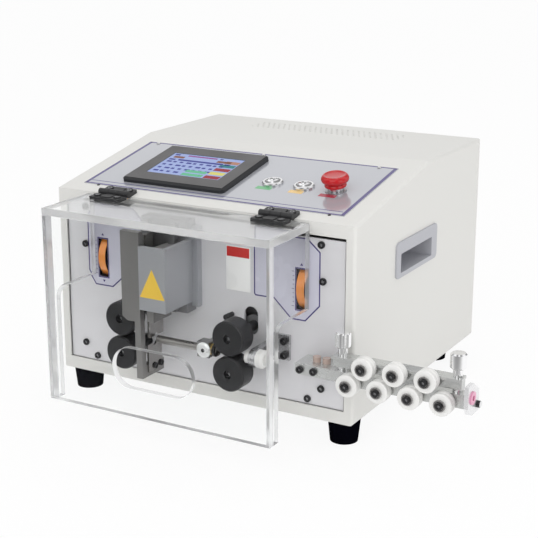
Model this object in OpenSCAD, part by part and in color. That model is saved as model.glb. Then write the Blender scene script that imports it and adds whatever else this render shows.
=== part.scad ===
// Bench machine that feeds, cuts and strips electric wire.
// Millimetres. x runs to the right, y to the back, z up.
// The modules draw in the housing's own axes: front left bottom corner of
// the housing is zero, and place() moves every piece to the shared origin
// under the middle of the whole object.

/* [Housing] */
// Width of the housing
body_w = 400; // [392:1:430]
// Depth of the housing
body_d = 365; // [340:1:420]
// Height of the housing at its front edge, without feet
front_h = 228; // [226:1:240]
// Height of the flat top, without feet
top_h = 265; // [258:1:290]
// Depth of the sloping control field
slope_run = 195; // [185:1:205]
// Thickness of the housing sheet
sheet_t = 2; // [1.5:0.5:2.5]
// Rounding of the housing edges
edge_r = 4; // [3:0.5:6]
// Height of the rubber feet
foot_h = 28; // [20:1:36]
// Radius of a foot where it meets the base
foot_r = 19; // [16:0.5:20]

/* [Front plate] */
// Width of the front frame at the left and right
frame_side = 11.5; // [9:0.5:12]
// Height of the front frame below the plate
frame_low = 15; // [12:0.5:16]
// Height of the front frame above the plate
frame_top = 15; // [13:0.5:17]
// Depth of the plate behind the frame
plate_in = 3; // [2:0.5:4]
// Thickness of the front plate
plate_t = 3; // [2.5:0.5:3]

/* [Safety cover] */
// Width of the clear cover
cover_w = 297; // [290:1:300]
// Distance from the housing to the front of the cover
cover_d = 89; // [86:1:100]
// Thickness of the clear sheet
cover_t = 8; // [6:0.5:9]
// Width of one hinge
hinge_w = 42; // [36:1:48]
// Distance of the hinges from the middle of the cover
hinge_off = 108.5; // [98:0.5:112]

/* [Feed and cutting] */
// Height of the wire above the base
wire_z = 74.5; // [74:0.5:76]
// Distance of the wire in front of the housing
wire_out = 36; // [35:0.5:38]
// Diameter of a feed roller
roller_d = 40.5; // [38:0.5:42]
// Length of a feed roller
roller_len = 24; // [22:0.5:30]
// Open space between two closed feed rollers
roller_gap = 1; // [0.8:0.1:2]
// How far the upper feed rollers lift
lift = 10; // [4:0.5:10]
// Travel of each blade
blade_travel = 9; // [8:0.25:9]
// Clearance of shafts in their holes
run_gap = 0.1; // [0.05:0.01:0.1]

/* [Straightener] */
// Diameter of the straightening rollers
sroll_d = 25; // [22:0.5:25]
// Length of the straightening rollers
sroll_len = 12; // [10:0.5:12]
// Distance between neighbouring rollers of one row
sroll_pitch = 35.8; // [34:0.1:36]
// Height between the two rows of rollers
sroll_rise = 22; // [22:0.5:24]
// Diameter of the knurled knobs
knob_d = 17.6; // [14:0.2:18]

/* [Hidden] */
$fn = 64;
slope_a = atan((top_h - front_h) / slope_run);
wire_y = -wire_out;
roller_r = roller_d / 2;
feed_rise = roller_r + roller_gap / 2;
roll_low_z = wire_z - feed_rise;
roll_up_z = wire_z + feed_rise;
roll_front = wire_y - roller_len / 2 - 2;
plate_y = plate_in;
plate_back = plate_in + plate_t;
mid_x = body_w / 2;
left_x = mid_x - 76;
right_x = mid_x + 69.5;
shaft_r = 6;
arm_len = 55;
arm_y = plate_back + 3;
arm_t = 10;
bulk_y = plate_back + 16;
bulk_t = 4;
motor_w = 42.3;
motor_len = 48;
cutter_x = mid_x - 40;
pitch_r = 10;
tooth_m = 1;
cover_x = mid_x - 3.5 - cover_w / 2;
cover_top = front_h - 2;
cutter_z = cover_top - 66;
cover_low = -4;
cover_back = -1.5;
pin_y = -3.5;
pin_z = front_h + 3;
knuckle_r = 4;
pin_r = 1.5;
wheel_r = 29.5;
wheel_w = 9.5;
wheel_out = 4;
wheel_y = plate_y - wheel_out + wheel_r;
wheel_z = 148;
wheel_lx = mid_x - 135.4;
wheel_rx = mid_x + 130.5;
tube_r = 4.5;
conduit_x = mid_x + 34;
sroll_r = sroll_d / 2;
sbar_y = wire_y + sroll_len / 2 + 2;
sbar_t = 3;
slow_z = wire_z - sroll_rise / 2 + 0.5;
sup_z = slow_z + sroll_rise;
slow_x = mid_x + 211;
sup_x = slow_x + sroll_pitch / 2;
sarm_top = wire_z - 0.5;
ubar_low = sup_z - 8.5;
ubar_top = sup_z + 4;
ubar_x0 = mid_x + 187;
ubar_x1 = slow_x + 3 * sroll_pitch + 16;
end_x = ubar_x1 + 11.6;
end_t = 4.5;
eye_r = 7;
stem_r = 5.25;
knob_y = sbar_y + 9;
knob_lx = mid_x + 195.8;
knob_rx = ubar_x1 - 6.6;
button_s = 84;
start_x = mid_x + 52;
stop_x = mid_x + 93;
estop_x = mid_x + 134;
cap_r = 9.2;
hmi_x = mid_x - 59;
hmi_s = 93;
hmi_h = 6;
over_h = 0.6;
over_w = body_w - 50;
over_d = 145;
over_s = 21;
handle_y = 163;
handle_z = 164;
handle_rim = 2;
back_t = 1.5;
fan_x = mid_x + 110;
fan_z = 175;
inlet_x = 85;
inlet_z = 60;
rocker_z = 110;
x_min = -handle_rim;
x_max = end_x + end_t + 4.5;
y_min = -cover_d;
y_max = body_d + 5;

// Moves a piece from the housing's axes to the shared origin
module place() {
  translate([-(x_min + x_max) / 2, -(y_min + y_max) / 2, foot_h]) children();
}

// Axes of the sloping field: y up the slope, z away from it
module on_slope(x, s) {
  translate([0, 0, front_h]) rotate([slope_a, 0, 0]) translate([x, s, 0]) children();
}

// Box from its two corners
module block(a, b) {
  translate(a) cube(b - a);
}

// Cylinder along y, x and z from one end to the other
module rod_y(x, z, r, y0, y1) {
  translate([x, y0, z]) rotate([-90, 0, 0]) cylinder(h = y1 - y0, r = r);
}
module rod_x(y, z, r, x0, x1) {
  translate([x0, y, z]) rotate([0, 90, 0]) cylinder(h = x1 - x0, r = r);
}
module rod_z(x, y, r, z0, z1) {
  translate([x, y, z0]) cylinder(h = z1 - z0, r = r);
}

// Rectangle with round corners, centred
module round_rect(w, h, r) {
  square([w - 2 * r, h], center = true);
  square([w, h - 2 * r], center = true);
  for (i = [-1, 1]) {
    for (j = [-1, 1]) {
      translate([i * (w / 2 - r), j * (h / 2 - r)]) circle(r = r);
    }
  }
}

// Side outline of the housing, grown inward by t
module side_outline(t) {
  drop = t / cos(slope_a) - t * tan(slope_a);
  polygon([
    [t, 0], [body_d - t, 0], [body_d - t, top_h - t],
    [slope_run + t * tan(slope_a / 2), top_h - t],
    [t, front_h - drop]
  ]);
}

// Solid form of the housing with rounded edges
module housing_form() {
  deep = 200;
  intersection() {
    rotate([90, 0, 90]) linear_extrude(body_w) side_outline(0);
    translate([mid_x, body_d / 2, 0]) linear_extrude(top_h)
      round_rect(body_w, body_d, edge_r);
    translate([mid_x, 0, top_h / 2]) rotate([-90, 0, 0]) linear_extrude(body_d)
      round_rect(body_w, top_h, edge_r);
    on_slope(mid_x, -deep / 2) translate([0, 0, -deep]) rotate([-90, 0, 0])
      linear_extrude(body_d + deep) round_rect(body_w, 2 * deep, edge_r);
  }
}

// Perforated cooling field near the back of the top
module vent_holes() {
  for (row = [0:4]) {
    for (k = [0:26]) {
      rod_z(mid_x - 104 + k * 8 + (row % 2) * 4, body_d - 62 + row * 8, 1.6, top_h - 10, top_h + 2);
    }
  }
}

// Recess opening in a side wall for the carrying handle
module handle_hole(x0) {
  block([x0, handle_y - 54, handle_z - 18], [x0 + 14, handle_y + 54, handle_z + 18]);
}

// Welded and powder coated shell: front frame, slope, top and both sides
module housing_shell() {
  color([0.9, 0.89, 0.86]) place() difference() {
    housing_form();
    translate([sheet_t, 0, -1]) rotate([90, 0, 90])
      linear_extrude(body_w - 2 * sheet_t) side_outline(sheet_t);
    block([sheet_t, sheet_t, -1], [body_w - sheet_t, body_d - sheet_t, sheet_t + 1]);
    block([frame_side, -1, frame_low], [body_w - frame_side, sheet_t + 1, front_h - frame_top]);
    block([10, body_d - 4, 10], [body_w - 10, body_d + 1, top_h - 12]);
    handle_hole(-6);
    handle_hole(body_w - 8);
    vent_holes();
    on_slope(hmi_x, hmi_s) translate([-62, -49, -6]) cube([124, 98, 8]);
    for (x = [start_x, stop_x, estop_x]) {
      on_slope(x, button_s) translate([0, 0, -6]) cylinder(h = 8, r = 11.2);
    }
  }
}

// Bottom sheet that carries the inside pieces
module base_plate() {
  color([0.75, 0.75, 0.74]) place() difference() {
    block([sheet_t + 0.3, sheet_t + 0.3, 0], [body_w - sheet_t - 0.3, body_d - sheet_t - 0.3, sheet_t]);
    for (k = [0:9]) {
      block([mid_x - 60 + k * 12, 90, -1], [mid_x - 55 + k * 12, 150, sheet_t + 1]);
    }
  }
}

// Rear sheet with openings for the fan, the mains inlet and the switch
module back_panel() {
  color([0.9, 0.89, 0.86]) place() difference() {
    block([10.3, body_d - back_t, 10.3], [body_w - 10.3, body_d, top_h - 12.3]);
    for (ring = [0:3]) {
      for (k = [0:5 + ring * 6]) {
        rotate_about_fan(k * 360 / (6 + ring * 6))
          rod_y(fan_x + 4 + ring * 6.6, fan_z, 1.9, body_d - 5, body_d + 5);
      }
    }
    block([inlet_x - 13.8, body_d - 5, inlet_z - 10.3], [inlet_x + 13.8, body_d + 5, inlet_z + 10.3]);
    block([inlet_x - 9.8, body_d - 5, rocker_z - 13.8], [inlet_x + 9.8, body_d + 5, rocker_z + 13.8]);
    for (k = [0:11]) {
      block([60 + k * 10, body_d - 5, 195], [64 + k * 10, body_d + 5, 225]);
    }
  }
}
module rotate_about_fan(a) {
  translate([fan_x, 0, fan_z]) rotate([0, a, 0]) translate([-fan_x, 0, -fan_z]) children();
}

// Four rubber feet, the rear pair set further in
module foot(x, y) {
  translate([x, y, -foot_h]) difference() {
    cylinder(h = foot_h, r1 = foot_r - 3, r2 = foot_r);
    translate([0, 0, -1]) cylinder(h = 7, r = 6);
  }
}
module feet() {
  color([0.15, 0.15, 0.17]) place() {
    for (x = [21.6, body_w - 21.6]) {
      foot(x, 23);
    }
    for (x = [40, body_w - 40]) {
      foot(x, body_d - 37);
    }
  }
}

// Upright slot for the shaft of a lifting roller
module lift_slot(x) {
  rod_y(x, roll_up_z - 1, 9, plate_y - 1, plate_back + 1);
  rod_y(x, roll_up_z + lift + 4.5, 9, plate_y - 1, plate_back + 1);
  block([x - 9, plate_y - 1, roll_up_z - 1], [x + 9, plate_back + 1, roll_up_z + lift + 4.5]);
}

// Bare sheet metal front that carries the wire handling
module front_plate() {
  color([0.78, 0.79, 0.82]) place() difference() {
    union() {
      block([frame_side + 2, plate_y, frame_low + 0.3],
        [body_w - frame_side - 2, plate_back, front_h - frame_top - 4]);
      for (x = [wheel_lx, wheel_rx]) {
        block([x - 9, plate_back - 1, wheel_z - 8], [x - 6.6, wheel_y + 8, wheel_z + 8]);
        block([x + 6.6, plate_back - 1, wheel_z - 8], [x + 9, wheel_y + 8, wheel_z + 8]);
      }
    }
    for (x = [left_x, right_x]) {
      lift_slot(x);
      rod_y(x, roll_low_z, 9, plate_y - 1, plate_back + 1);
    }
    rod_y(conduit_x, wire_z, 7, plate_y - 1, plate_back + 1);
    rod_y(cutter_x, cutter_z, 7, plate_y - 1, plate_back + 1);
    for (x = [wheel_lx, wheel_rx]) {
      block([x - 6.5, plate_y - 1, wheel_z - 23.5], [x + 6.5, plate_back + 1, wheel_z + 23.5]);
      rod_x(wheel_y, wheel_z, 4 + run_gap, x - 20, x + 20);
    }
  }
}

// Printed sheet on the slope
module control_overlay() {
  color([0.74, 0.75, 0.82]) place() difference() {
    on_slope(mid_x - over_w / 2, over_s) cube([over_w, over_d, over_h]);
    on_slope(hmi_x, hmi_s) translate([-62, -49, -1]) cube([124, 98, 4]);
    for (x = [start_x, stop_x, estop_x]) {
      on_slope(x, button_s) translate([0, 0, -1]) cylinder(h = 4, r = 11.2);
    }
  }
}

// Frame and rear box of the touch screen, with a chamfered rim
module hmi_housing() {
  rim = over_h + hmi_h;
  color([0.16, 0.17, 0.19]) place() on_slope(hmi_x, hmi_s) difference() {
    union() {
      translate([0, 0, over_h]) linear_extrude(hmi_h) round_rect(142, 112, 5);
      translate([-61, -48, -30]) cube([122, 96, 32]);
    }
    for (i = [-1, 1]) {
      translate([i * 71, 0, rim - 2.5]) rotate([0, i * 40, 0]) translate([-10, -70, 0]) cube([20, 140, 10]);
      translate([0, i * 56, rim - 2.5]) rotate([-i * 40, 0, 0]) translate([-90, -10, 0]) cube([180, 20, 10]);
    }
    translate([-50.5, -32.5, rim - 1.2]) cube([101, 65, 4]);
  }
}

// Glass of the touch screen
module hmi_screen() {
  color([0.35, 0.42, 0.7]) place() on_slope(hmi_x, hmi_s)
    translate([-50.5, -32.5, over_h + hmi_h - 1.2]) cube([101, 65, 0.9]);
}

// Bright rings around the two push buttons
module button_bezels() {
  color([0.8, 0.8, 0.82]) place() {
    for (x = [start_x, stop_x]) {
      on_slope(x, button_s) difference() {
        union() {
          translate([0, 0, over_h]) cylinder(h = 1.8, r = 12.5);
          translate([0, 0, over_h + 1.8]) cylinder(h = 1.2, r1 = 12.5, r2 = 11.3);
          translate([0, 0, -22]) cylinder(h = 23, r = 11);
        }
        translate([0, 0, -14]) cylinder(h = 30, r = cap_r + run_gap);
      }
    }
  }
}

// Dished button cap with its stem
module button_cap(x) {
  on_slope(x, button_s) difference() {
    translate([0, 0, -9]) cylinder(h = 11.6, r = cap_r);
    translate([0, 0, 11.4]) sphere(r = 12.3);
  }
}
module start_button() {
  color([0.82, 0.82, 0.84]) place() button_cap(start_x);
}
module stop_button() {
  color([0.82, 0.82, 0.84]) place() button_cap(stop_x);
}

// Collar of the emergency stop
module estop_collar() {
  color([0.8, 0.8, 0.82]) place() on_slope(estop_x, button_s) difference() {
    union() {
      translate([0, 0, over_h]) cylinder(h = 1, r = 12.4);
      translate([0, 0, -30]) cylinder(h = 31, r = 11);
    }
    translate([0, 0, -24]) cylinder(h = 40, r = 9 + run_gap);
  }
}

// Sliding plunger of the emergency stop
module estop_plunger() {
  color([0.6, 0.05, 0.08]) place() on_slope(estop_x, button_s) {
    translate([0, 0, -19]) cylinder(h = 28, r = 9);
    translate([0, 0, 9]) cylinder(h = 5, r = 5);
  }
}

// Mushroom head of the emergency stop with a lower tier around the plunger
module estop_head() {
  color([0.8, 0.08, 0.1]) place() on_slope(estop_x, button_s) difference() {
    union() {
      translate([0, 0, 5.8]) cylinder(h = 2.8, r1 = 11.8, r2 = 12.8);
      translate([0, 0, 8.6]) cylinder(h = 1, r1 = 12.8, r2 = 11.8);
      translate([0, 0, 9.6]) cylinder(h = 2.7, r1 = 11.8, r2 = 15);
      translate([0, 0, 12.3]) cylinder(h = 4.2, r1 = 15, r2 = 16.2);
      intersection() {
        translate([0, 0, 16.5]) cylinder(h = 8, r = 16.2);
        translate([0, 0, -11]) sphere(r = 32);
      }
    }
    translate([0, 0, 5]) cylinder(h = 4.3, r = 9 + run_gap);
    translate([0, 0, 9]) cylinder(h = 5.3, r = 5 + run_gap);
  }
}

// Grip shell set into a side wall, drawn for the right side
module handle_grip() {
  translate([0, handle_y, handle_z]) rotate([90, 0, 90]) difference() {
    union() {
      linear_extrude(handle_rim) round_rect(118, 43, 6);
      translate([-53.5, -17.5, -34]) cube([107, 35, 35]);
    }
    translate([-47, -16, -32]) cube([90, 23, 40]);
    translate([-47, 7, -32]) cube([90, 8.5, 30]);
  }
}

// Both carrying handles
module side_handles() {
  color([0.72, 0.72, 0.76]) place() {
    translate([body_w, 0, 0]) handle_grip();
    mirror([1, 0, 0]) handle_grip();
  }
}

// Printed plates around the two roller setting wheels
module adjuster_plates() {
  color([0.86, 0.87, 0.92]) place() difference() {
    union() {
      translate([wheel_lx, plate_y, wheel_z]) rotate([90, 0, 0]) linear_extrude(0.4)
        polygon([[-24, 38], [23, 38], [23, -22], [13, -34], [-12, -34], [-24, -19]]);
      translate([wheel_rx, plate_y, wheel_z]) rotate([90, 0, 0]) linear_extrude(0.4)
        polygon([[-57, 38], [26, 38], [26, -18], [8, -36], [-13, -36], [-35, -15], [-55, -15], [-57, -13]]);
    }
    for (x = [wheel_lx, wheel_rx]) {
      block([x - 6.5, plate_y - 2, wheel_z - 23.5], [x + 6.5, plate_y + 1, wheel_z + 23.5]);
    }
  }
}

// Setting wheel with dished sides, turning on a cross shaft
module thumbwheel(x) {
  difference() {
    rod_x(wheel_y, wheel_z, wheel_r, x - wheel_w / 2, x + wheel_w / 2);
    rod_x(wheel_y, wheel_z, wheel_r - 4, x + wheel_w / 2 - 1.5, x + wheel_w);
    rod_x(wheel_y, wheel_z, wheel_r - 4, x - wheel_w, x - wheel_w / 2 + 1.5);
  }
  rod_x(wheel_y, wheel_z, 4, x - 9, x + 9);
}
module thumbwheel_left() {
  color([0.95, 0.5, 0.15]) place() thumbwheel(wheel_lx);
}
module thumbwheel_right() {
  color([0.95, 0.5, 0.15]) place() thumbwheel(wheel_rx);
}

// Raised seat of a hinge screw
module screw_seat() {
  difference() {
    cylinder(h = 5.2, r = 4.4);
    translate([0, 0, 4]) cylinder(h = 2, r1 = 2.2, r2 = 4.2);
  }
}

// One fixed hinge leaf on the slope with its outer knuckles and pin
module fixed_leaf(x) {
  difference() {
    union() {
      on_slope(x, 5.75) linear_extrude(3.6) round_rect(hinge_w, 15.5, 2);
      for (i = [-1, 1]) {
        on_slope(x + i * hinge_w * 0.33, 7.6) screw_seat();
      }
      on_slope(x - hinge_w * 0.16, 3) cube([hinge_w * 0.32, 9, 4.6]);
      rod_x(pin_y, pin_z, knuckle_r, x - hinge_w / 2, x - hinge_w / 6);
      rod_x(pin_y, pin_z, knuckle_r, x + hinge_w / 6, x + hinge_w / 2);
    }
    rod_x(pin_y, pin_z, knuckle_r + 0.4, x - hinge_w / 6, x + hinge_w / 6);
  }
  rod_x(pin_y, pin_z, pin_r, x - hinge_w / 2 + 1, x + hinge_w / 2 - 1);
}
module hinge_fixed_leaves() {
  color([0.12, 0.12, 0.13]) place() {
    for (i = [-1, 1]) {
      fixed_leaf(cover_x + cover_w / 2 + i * hinge_off);
    }
  }
}

// One hinge leaf on the cover with the middle knuckle
module cover_leaf(x) {
  k = hinge_w / 6 - 0.4;
  difference() {
    union() {
      translate([x, -17.1, cover_top]) linear_extrude(3.6) round_rect(hinge_w, 17.8, 2);
      for (i = [-1, 1]) {
        translate([x + i * hinge_w * 0.33, -18, cover_top]) screw_seat();
      }
      block([x - hinge_w * 0.16, -24, cover_top], [x + hinge_w * 0.16, -10, cover_top + 4.6]);
      block([x - k, -12, cover_top + 0.4], [x + k, pin_y, cover_top + 4]);
      rod_x(pin_y, pin_z, knuckle_r, x - k, x + k);
    }
    rod_x(pin_y, pin_z, pin_r + run_gap, x - hinge_w, x + hinge_w);
  }
}
module hinge_cover_leaves() {
  color([0.12, 0.12, 0.13]) place() {
    for (i = [-1, 1]) {
      cover_leaf(cover_x + cover_w / 2 + i * hinge_off);
    }
  }
}

// Side wall of the cover: deep above, a narrow strip below
module cover_side(x) {
  difference() {
    block([x, -cover_d + cover_t, cover_low], [x + cover_t, cover_back, cover_top - cover_t]);
    block([x - 1, -58, cover_low - 1], [x + cover_t + 1, 2, 128]);
    block([x - 1, -70, cover_low - 1], [x + cover_t + 1, -57, 116]);
    rod_x(-58, 116, 12, x - 1, x + cover_t + 1);
  }
}

// Clear cover glued from a top, a front with a hand hole and two sides
module safety_cover() {
  hole_x = cover_x + cover_w / 2 - 3;
  color([0.85, 0.9, 0.92, 0.35]) place() {
    difference() {
      union() {
        block([cover_x, -cover_d, cover_top - cover_t], [cover_x + cover_w, cover_back - 6, cover_top]);
        block([cover_x + 6, -30, cover_top - cover_t], [cover_x + cover_w - 6, cover_back, cover_top]);
        rod_z(cover_x + 6, cover_back - 6, 6, cover_top - cover_t, cover_top);
        rod_z(cover_x + cover_w - 6, cover_back - 6, 6, cover_top - cover_t, cover_top);
        block([cover_x, -cover_d, cover_low], [cover_x + cover_w, -cover_d + cover_t, cover_top - cover_t]);
        cover_side(cover_x);
        cover_side(cover_x + cover_w - cover_t);
      }
      rod_y(hole_x - 29.5, 54, 24, -cover_d - 1, -cover_d + cover_t + 1);
      rod_y(hole_x + 29.5, 54, 24, -cover_d - 1, -cover_d + cover_t + 1);
      block([hole_x - 29.5, -cover_d - 1, 30], [hole_x + 29.5, -cover_d + cover_t + 1, 78]);
    }
  }
}

// Block on the front plate with the two upright rails of the cutter
module cutter_base() {
  color([0.5, 0.51, 0.53]) place() difference() {
    union() {
      block([cutter_x - 26, -16, cutter_z - 56], [cutter_x + 35.4, plate_y, cutter_z + 46]);
      block([cutter_x - 21, -24, cutter_z - 36], [cutter_x - 12, -15, cutter_z + 44]);
      block([cutter_x + 16, -24, cutter_z - 54], [cutter_x + 25, -15, cutter_z + 44]);
    }
    rod_y(cutter_x, cutter_z, 7, -30, 10);
  }
}

// Folded guard in front of the upper blade slide
module cutter_guard() {
  color([0.55, 0.57, 0.6]) place() {
    low = cutter_z - 44;
    top = cutter_z + 30;
    block([cutter_x + 1.5, -62, low], [cutter_x + 37, -60.5, top]);
    block([cutter_x + 35.5, -61, low], [cutter_x + 37, -4, top + 2]);
    block([cutter_x + 1.5, -61, top - 1.5], [cutter_x + 36, -57, top]);
    block([cutter_x + 35.5, -61, top + 0.5], [cutter_x + 41, -4, top + 2]);
    block([cutter_x + 35.5, -5.5, low - 6], [cutter_x + 44, plate_y, top + 10]);
  }
}

// Rack tooth pointing to +x, at height z, pitch line at x
module rack_tooth(x, z, side) {
  h = PI * tooth_m / 4 - 0.2;
  t = tan(20);
  translate([x, -34, z]) rotate([90, 0, 0]) linear_extrude(14)
    polygon([
      [-1.6 * side, -h - 1.25 * t], [-1.25 * side, -h - 1.25 * t], [0.9 * side, -h + 0.9 * t],
      [0.9 * side, h - 0.9 * t], [-1.25 * side, h + 1.25 * t], [-1.6 * side, h + 1.25 * t]
    ]);
}

// Slide of the lower blade: tall plate, leg, foot and rack
module lower_slide() {
  foot_z = wire_z - 43.5;
  plate_z = cutter_z + 45;
  color([0.45, 0.44, 0.43]) place() difference() {
    union() {
      translate([cutter_x, -52, 0]) rotate([90, 0, 0]) linear_extrude(8)
        polygon([
          [-24, plate_z - 100.5], [-17, plate_z - 105], [-7, plate_z - 105], [-7, foot_z],
          [1, foot_z], [1, plate_z], [-24, plate_z]
        ]);
      block([cutter_x - 7, -60, foot_z], [cutter_x + 1, -17, foot_z + 14]);
      block([cutter_x - 24, -53, cutter_z - 18], [cutter_x - 11.25, -26, cutter_z + 35]);
      block([cutter_x - 25, -31, cutter_z - 18], [cutter_x - 9, -16.5, cutter_z + 35]);
      for (k = [-5:3]) {
        rack_tooth(cutter_x - pitch_r, cutter_z + k * PI * tooth_m, 1);
      }
    }
    block([cutter_x - 21 - run_gap, -24 - run_gap, cutter_z - 30],
      [cutter_x - 12 + run_gap, -10, cutter_z + 50]);
  }
}

// Slide of the upper blade: body, holder and rack
module upper_slide() {
  color([0.3, 0.3, 0.32]) place() difference() {
    union() {
      block([cutter_x + 11.25, -56, cutter_z - 42], [cutter_x + 32, -26, cutter_z + 26]);
      block([cutter_x + 12, -31, cutter_z - 42], [cutter_x + 29, -16.5, cutter_z + 26]);
      block([cutter_x + 5.7, -54, wire_z + 25.5], [cutter_x + 15, -18, cutter_z - 20]);
      for (k = [-3:5]) {
        rack_tooth(cutter_x + pitch_r, cutter_z + k * PI * tooth_m, -1);
      }
    }
    block([cutter_x + 16 - run_gap, -24 - run_gap, wire_z + 15.5],
      [cutter_x + 25 + run_gap, -10, cutter_z + 50]);
  }
}

// Blades with a V shaped edge
module blade(x, up) {
  translate([x, wire_y, wire_z]) rotate([90, 0, 90]) linear_extrude(2.2) scale([1, up])
    polygon([[-14, 38], [-14, 4.5], [-4, 4.5], [0, 8.5], [4, 4.5], [14, 4.5], [14, 38]]);
}
module lower_blade() {
  color([0.7, 0.7, 0.72]) place() blade(cutter_x + 1, -1);
}
module upper_blade() {
  color([0.7, 0.7, 0.72]) place() blade(cutter_x + 3.5, 1);
}

// Half tooth angle of the pinion at radius r
function inv(a) = tan(a) * 180 / PI - a;
function half_a(r) = 4.5 - 1.15 + inv(20) - inv(acos(pitch_r * cos(20) / r));
function tooth_pts(c) = [
  for (p = [[8.6, -half_a(9.42)], [9.42, -half_a(9.42)], [10, -half_a(10)], [10.45, -half_a(10.45)],
    [10.85, -half_a(10.85)], [10.85, half_a(10.85)], [10.45, half_a(10.45)], [10, half_a(10)],
    [9.42, half_a(9.42)], [8.6, half_a(9.42)]])
  [p[0] * cos(c + p[1]), p[0] * sin(c + p[1])]
];

// Pinion between the two racks, on the shaft of its motor
module cutter_pinion() {
  color([0.6, 0.58, 0.5]) place() {
    translate([cutter_x, -34, cutter_z]) rotate([90, 0, 0]) linear_extrude(14)
      polygon([for (i = [0:19]) for (p = tooth_pts(9 + i * 18)) p]);
    rod_y(cutter_x, cutter_z, 5, -34.5, bulk_y + bulk_t - 0.5);
  }
}

// Stepping motor behind the bulkhead
module motor(x, z) {
  y0 = bulk_y + bulk_t;
  block([x - motor_w / 2, y0, z - motor_w / 2], [x + motor_w / 2, y0 + 10, z + motor_w / 2]);
  block([x - motor_w / 2 + 2, y0 + 10, z - motor_w / 2 + 2],
    [x + motor_w / 2 - 2, y0 + motor_len - 10, z + motor_w / 2 - 2]);
  block([x - motor_w / 2, y0 + motor_len - 10, z - motor_w / 2],
    [x + motor_w / 2, y0 + motor_len, z + motor_w / 2]);
}
module drive_motors() {
  color([0.2, 0.2, 0.22]) place() {
    motor(left_x, roll_low_z);
    motor(right_x, roll_low_z);
    motor(cutter_x, cutter_z);
  }
}

// Inner wall for motors and pivots, standing on the base
module motor_bulkhead() {
  color([0.68, 0.68, 0.7]) place() difference() {
    union() {
      block([mid_x - 120, bulk_y, sheet_t], [mid_x + 115, bulk_y + bulk_t, cutter_z + 43]);
      block([mid_x - 120, bulk_y, sheet_t], [mid_x + 115, bulk_y + 3, sheet_t + 4]);
      block([mid_x - 120, bulk_y + 1, sheet_t], [mid_x + 115, bulk_y + 36, sheet_t + 4]);
      for (x = [mid_x - 110, mid_x + 105]) {
        for (z = [22, cutter_z + 35]) {
          rod_y(x, z, 5, plate_back, bulk_y + 1);
        }
      }
      rod_y(left_x + arm_len, roll_up_z + lift / 2, shaft_r, plate_back + 0.5, bulk_y + 1);
      rod_y(right_x - arm_len, roll_up_z + lift / 2, shaft_r, plate_back + 0.5, bulk_y + 1);
    }
    for (x = [left_x, right_x]) {
      rod_y(x, roll_low_z, shaft_r + run_gap, bulk_y - 1, bulk_y + bulk_t + 1);
    }
    rod_y(cutter_x, cutter_z, 5 + run_gap, bulk_y - 1, bulk_y + bulk_t + 1);
    rod_y(conduit_x, wire_z, 5 + run_gap, bulk_y - 1, bulk_y + bulk_t + 1);
  }
}

// Rubber feed roller on its shaft
module feed_roller(x, z, y_end) {
  difference() {
    union() {
      translate([x, roll_front, z]) rotate([-90, 0, 0]) cylinder(h = 2, r1 = roller_r - 1.6, r2 = roller_r);
      rod_y(x, z, roller_r, roll_front + 2, roll_front + roller_len - 1);
      translate([x, roll_front + roller_len - 1, z]) rotate([-90, 0, 0])
        cylinder(h = 1, r1 = roller_r, r2 = roller_r - 1);
      rod_y(x, z, 8, roll_front + roller_len - 1, roll_front + roller_len + 5);
      rod_y(x, z, shaft_r, roll_front + roller_len, y_end);
    }
    rod_y(x, z, 5, roll_front - 1, roll_front + 6);
  }
}
module roller_left_lower() {
  color([0.2, 0.2, 0.21]) place() feed_roller(left_x, roll_low_z, bulk_y + bulk_t - 0.5);
}
module roller_left_upper() {
  color([0.2, 0.2, 0.21]) place() feed_roller(left_x, roll_up_z, arm_y + arm_t);
}
module roller_right_lower() {
  color([0.2, 0.2, 0.21]) place() feed_roller(right_x, roll_low_z, bulk_y + bulk_t - 0.5);
}
module roller_right_upper() {
  color([0.2, 0.2, 0.21]) place() feed_roller(right_x, roll_up_z, arm_y + arm_t);
}

// Lifting arm of an upper roller, drawn with its pivot on the side given
module lift_arm(x, side) {
  pivot_x = x + side * arm_len;
  pivot_z = roll_up_z + lift / 2;
  tail_x = x - side * 46;
  difference() {
    union() {
      rod_y(x, roll_up_z, 12, arm_y, arm_y + arm_t);
      rod_y(pivot_x, pivot_z, 11, arm_y, arm_y + arm_t);
      translate([0, arm_y + arm_t, 0]) rotate([90, 0, 0]) linear_extrude(arm_t) polygon([
        [tail_x, roll_up_z - 6], [x, roll_up_z - 8], [pivot_x, pivot_z - 8],
        [pivot_x, pivot_z + 8], [x, roll_up_z + 8], [tail_x, roll_up_z + 6]
      ]);
    }
    rod_y(x, roll_up_z, shaft_r + run_gap, arm_y - 1, arm_y + arm_t + 1);
    rod_y(pivot_x, pivot_z, shaft_r + run_gap, arm_y - 1, arm_y + arm_t + 1);
  }
}
module arm_left() {
  color([0.55, 0.55, 0.57]) place() lift_arm(left_x, 1);
}
module arm_right() {
  color([0.55, 0.55, 0.57]) place() lift_arm(right_x, -1);
}

// Swinging holder of the wire tube, on a shaft through the front plate
module conduit_block() {
  color([0.72, 0.73, 0.75]) place() difference() {
    union() {
      block([conduit_x - 9, wire_y - 6, wire_z - 9], [conduit_x + 6.5, wire_y + 8, wire_z + 9]);
      rod_y(conduit_x, wire_z, 9, wire_y - 7, wire_y - 5);
      translate([conduit_x, wire_y - 8.5, wire_z]) rotate([-90, 0, 0]) cylinder(h = 1.5, r1 = 6, r2 = 9);
      rod_y(conduit_x, wire_z, 8, wire_y + 7, wire_y + 22);
      rod_y(conduit_x, wire_z, 5, wire_y + 7, bulk_y + bulk_t - 0.5);
    }
    rod_x(wire_y, wire_z, tube_r + run_gap, conduit_x - 20, conduit_x + 20);
    rod_y(conduit_x, wire_z, 2.2, wire_y - 10, wire_y - 6.5);
  }
}

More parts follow.
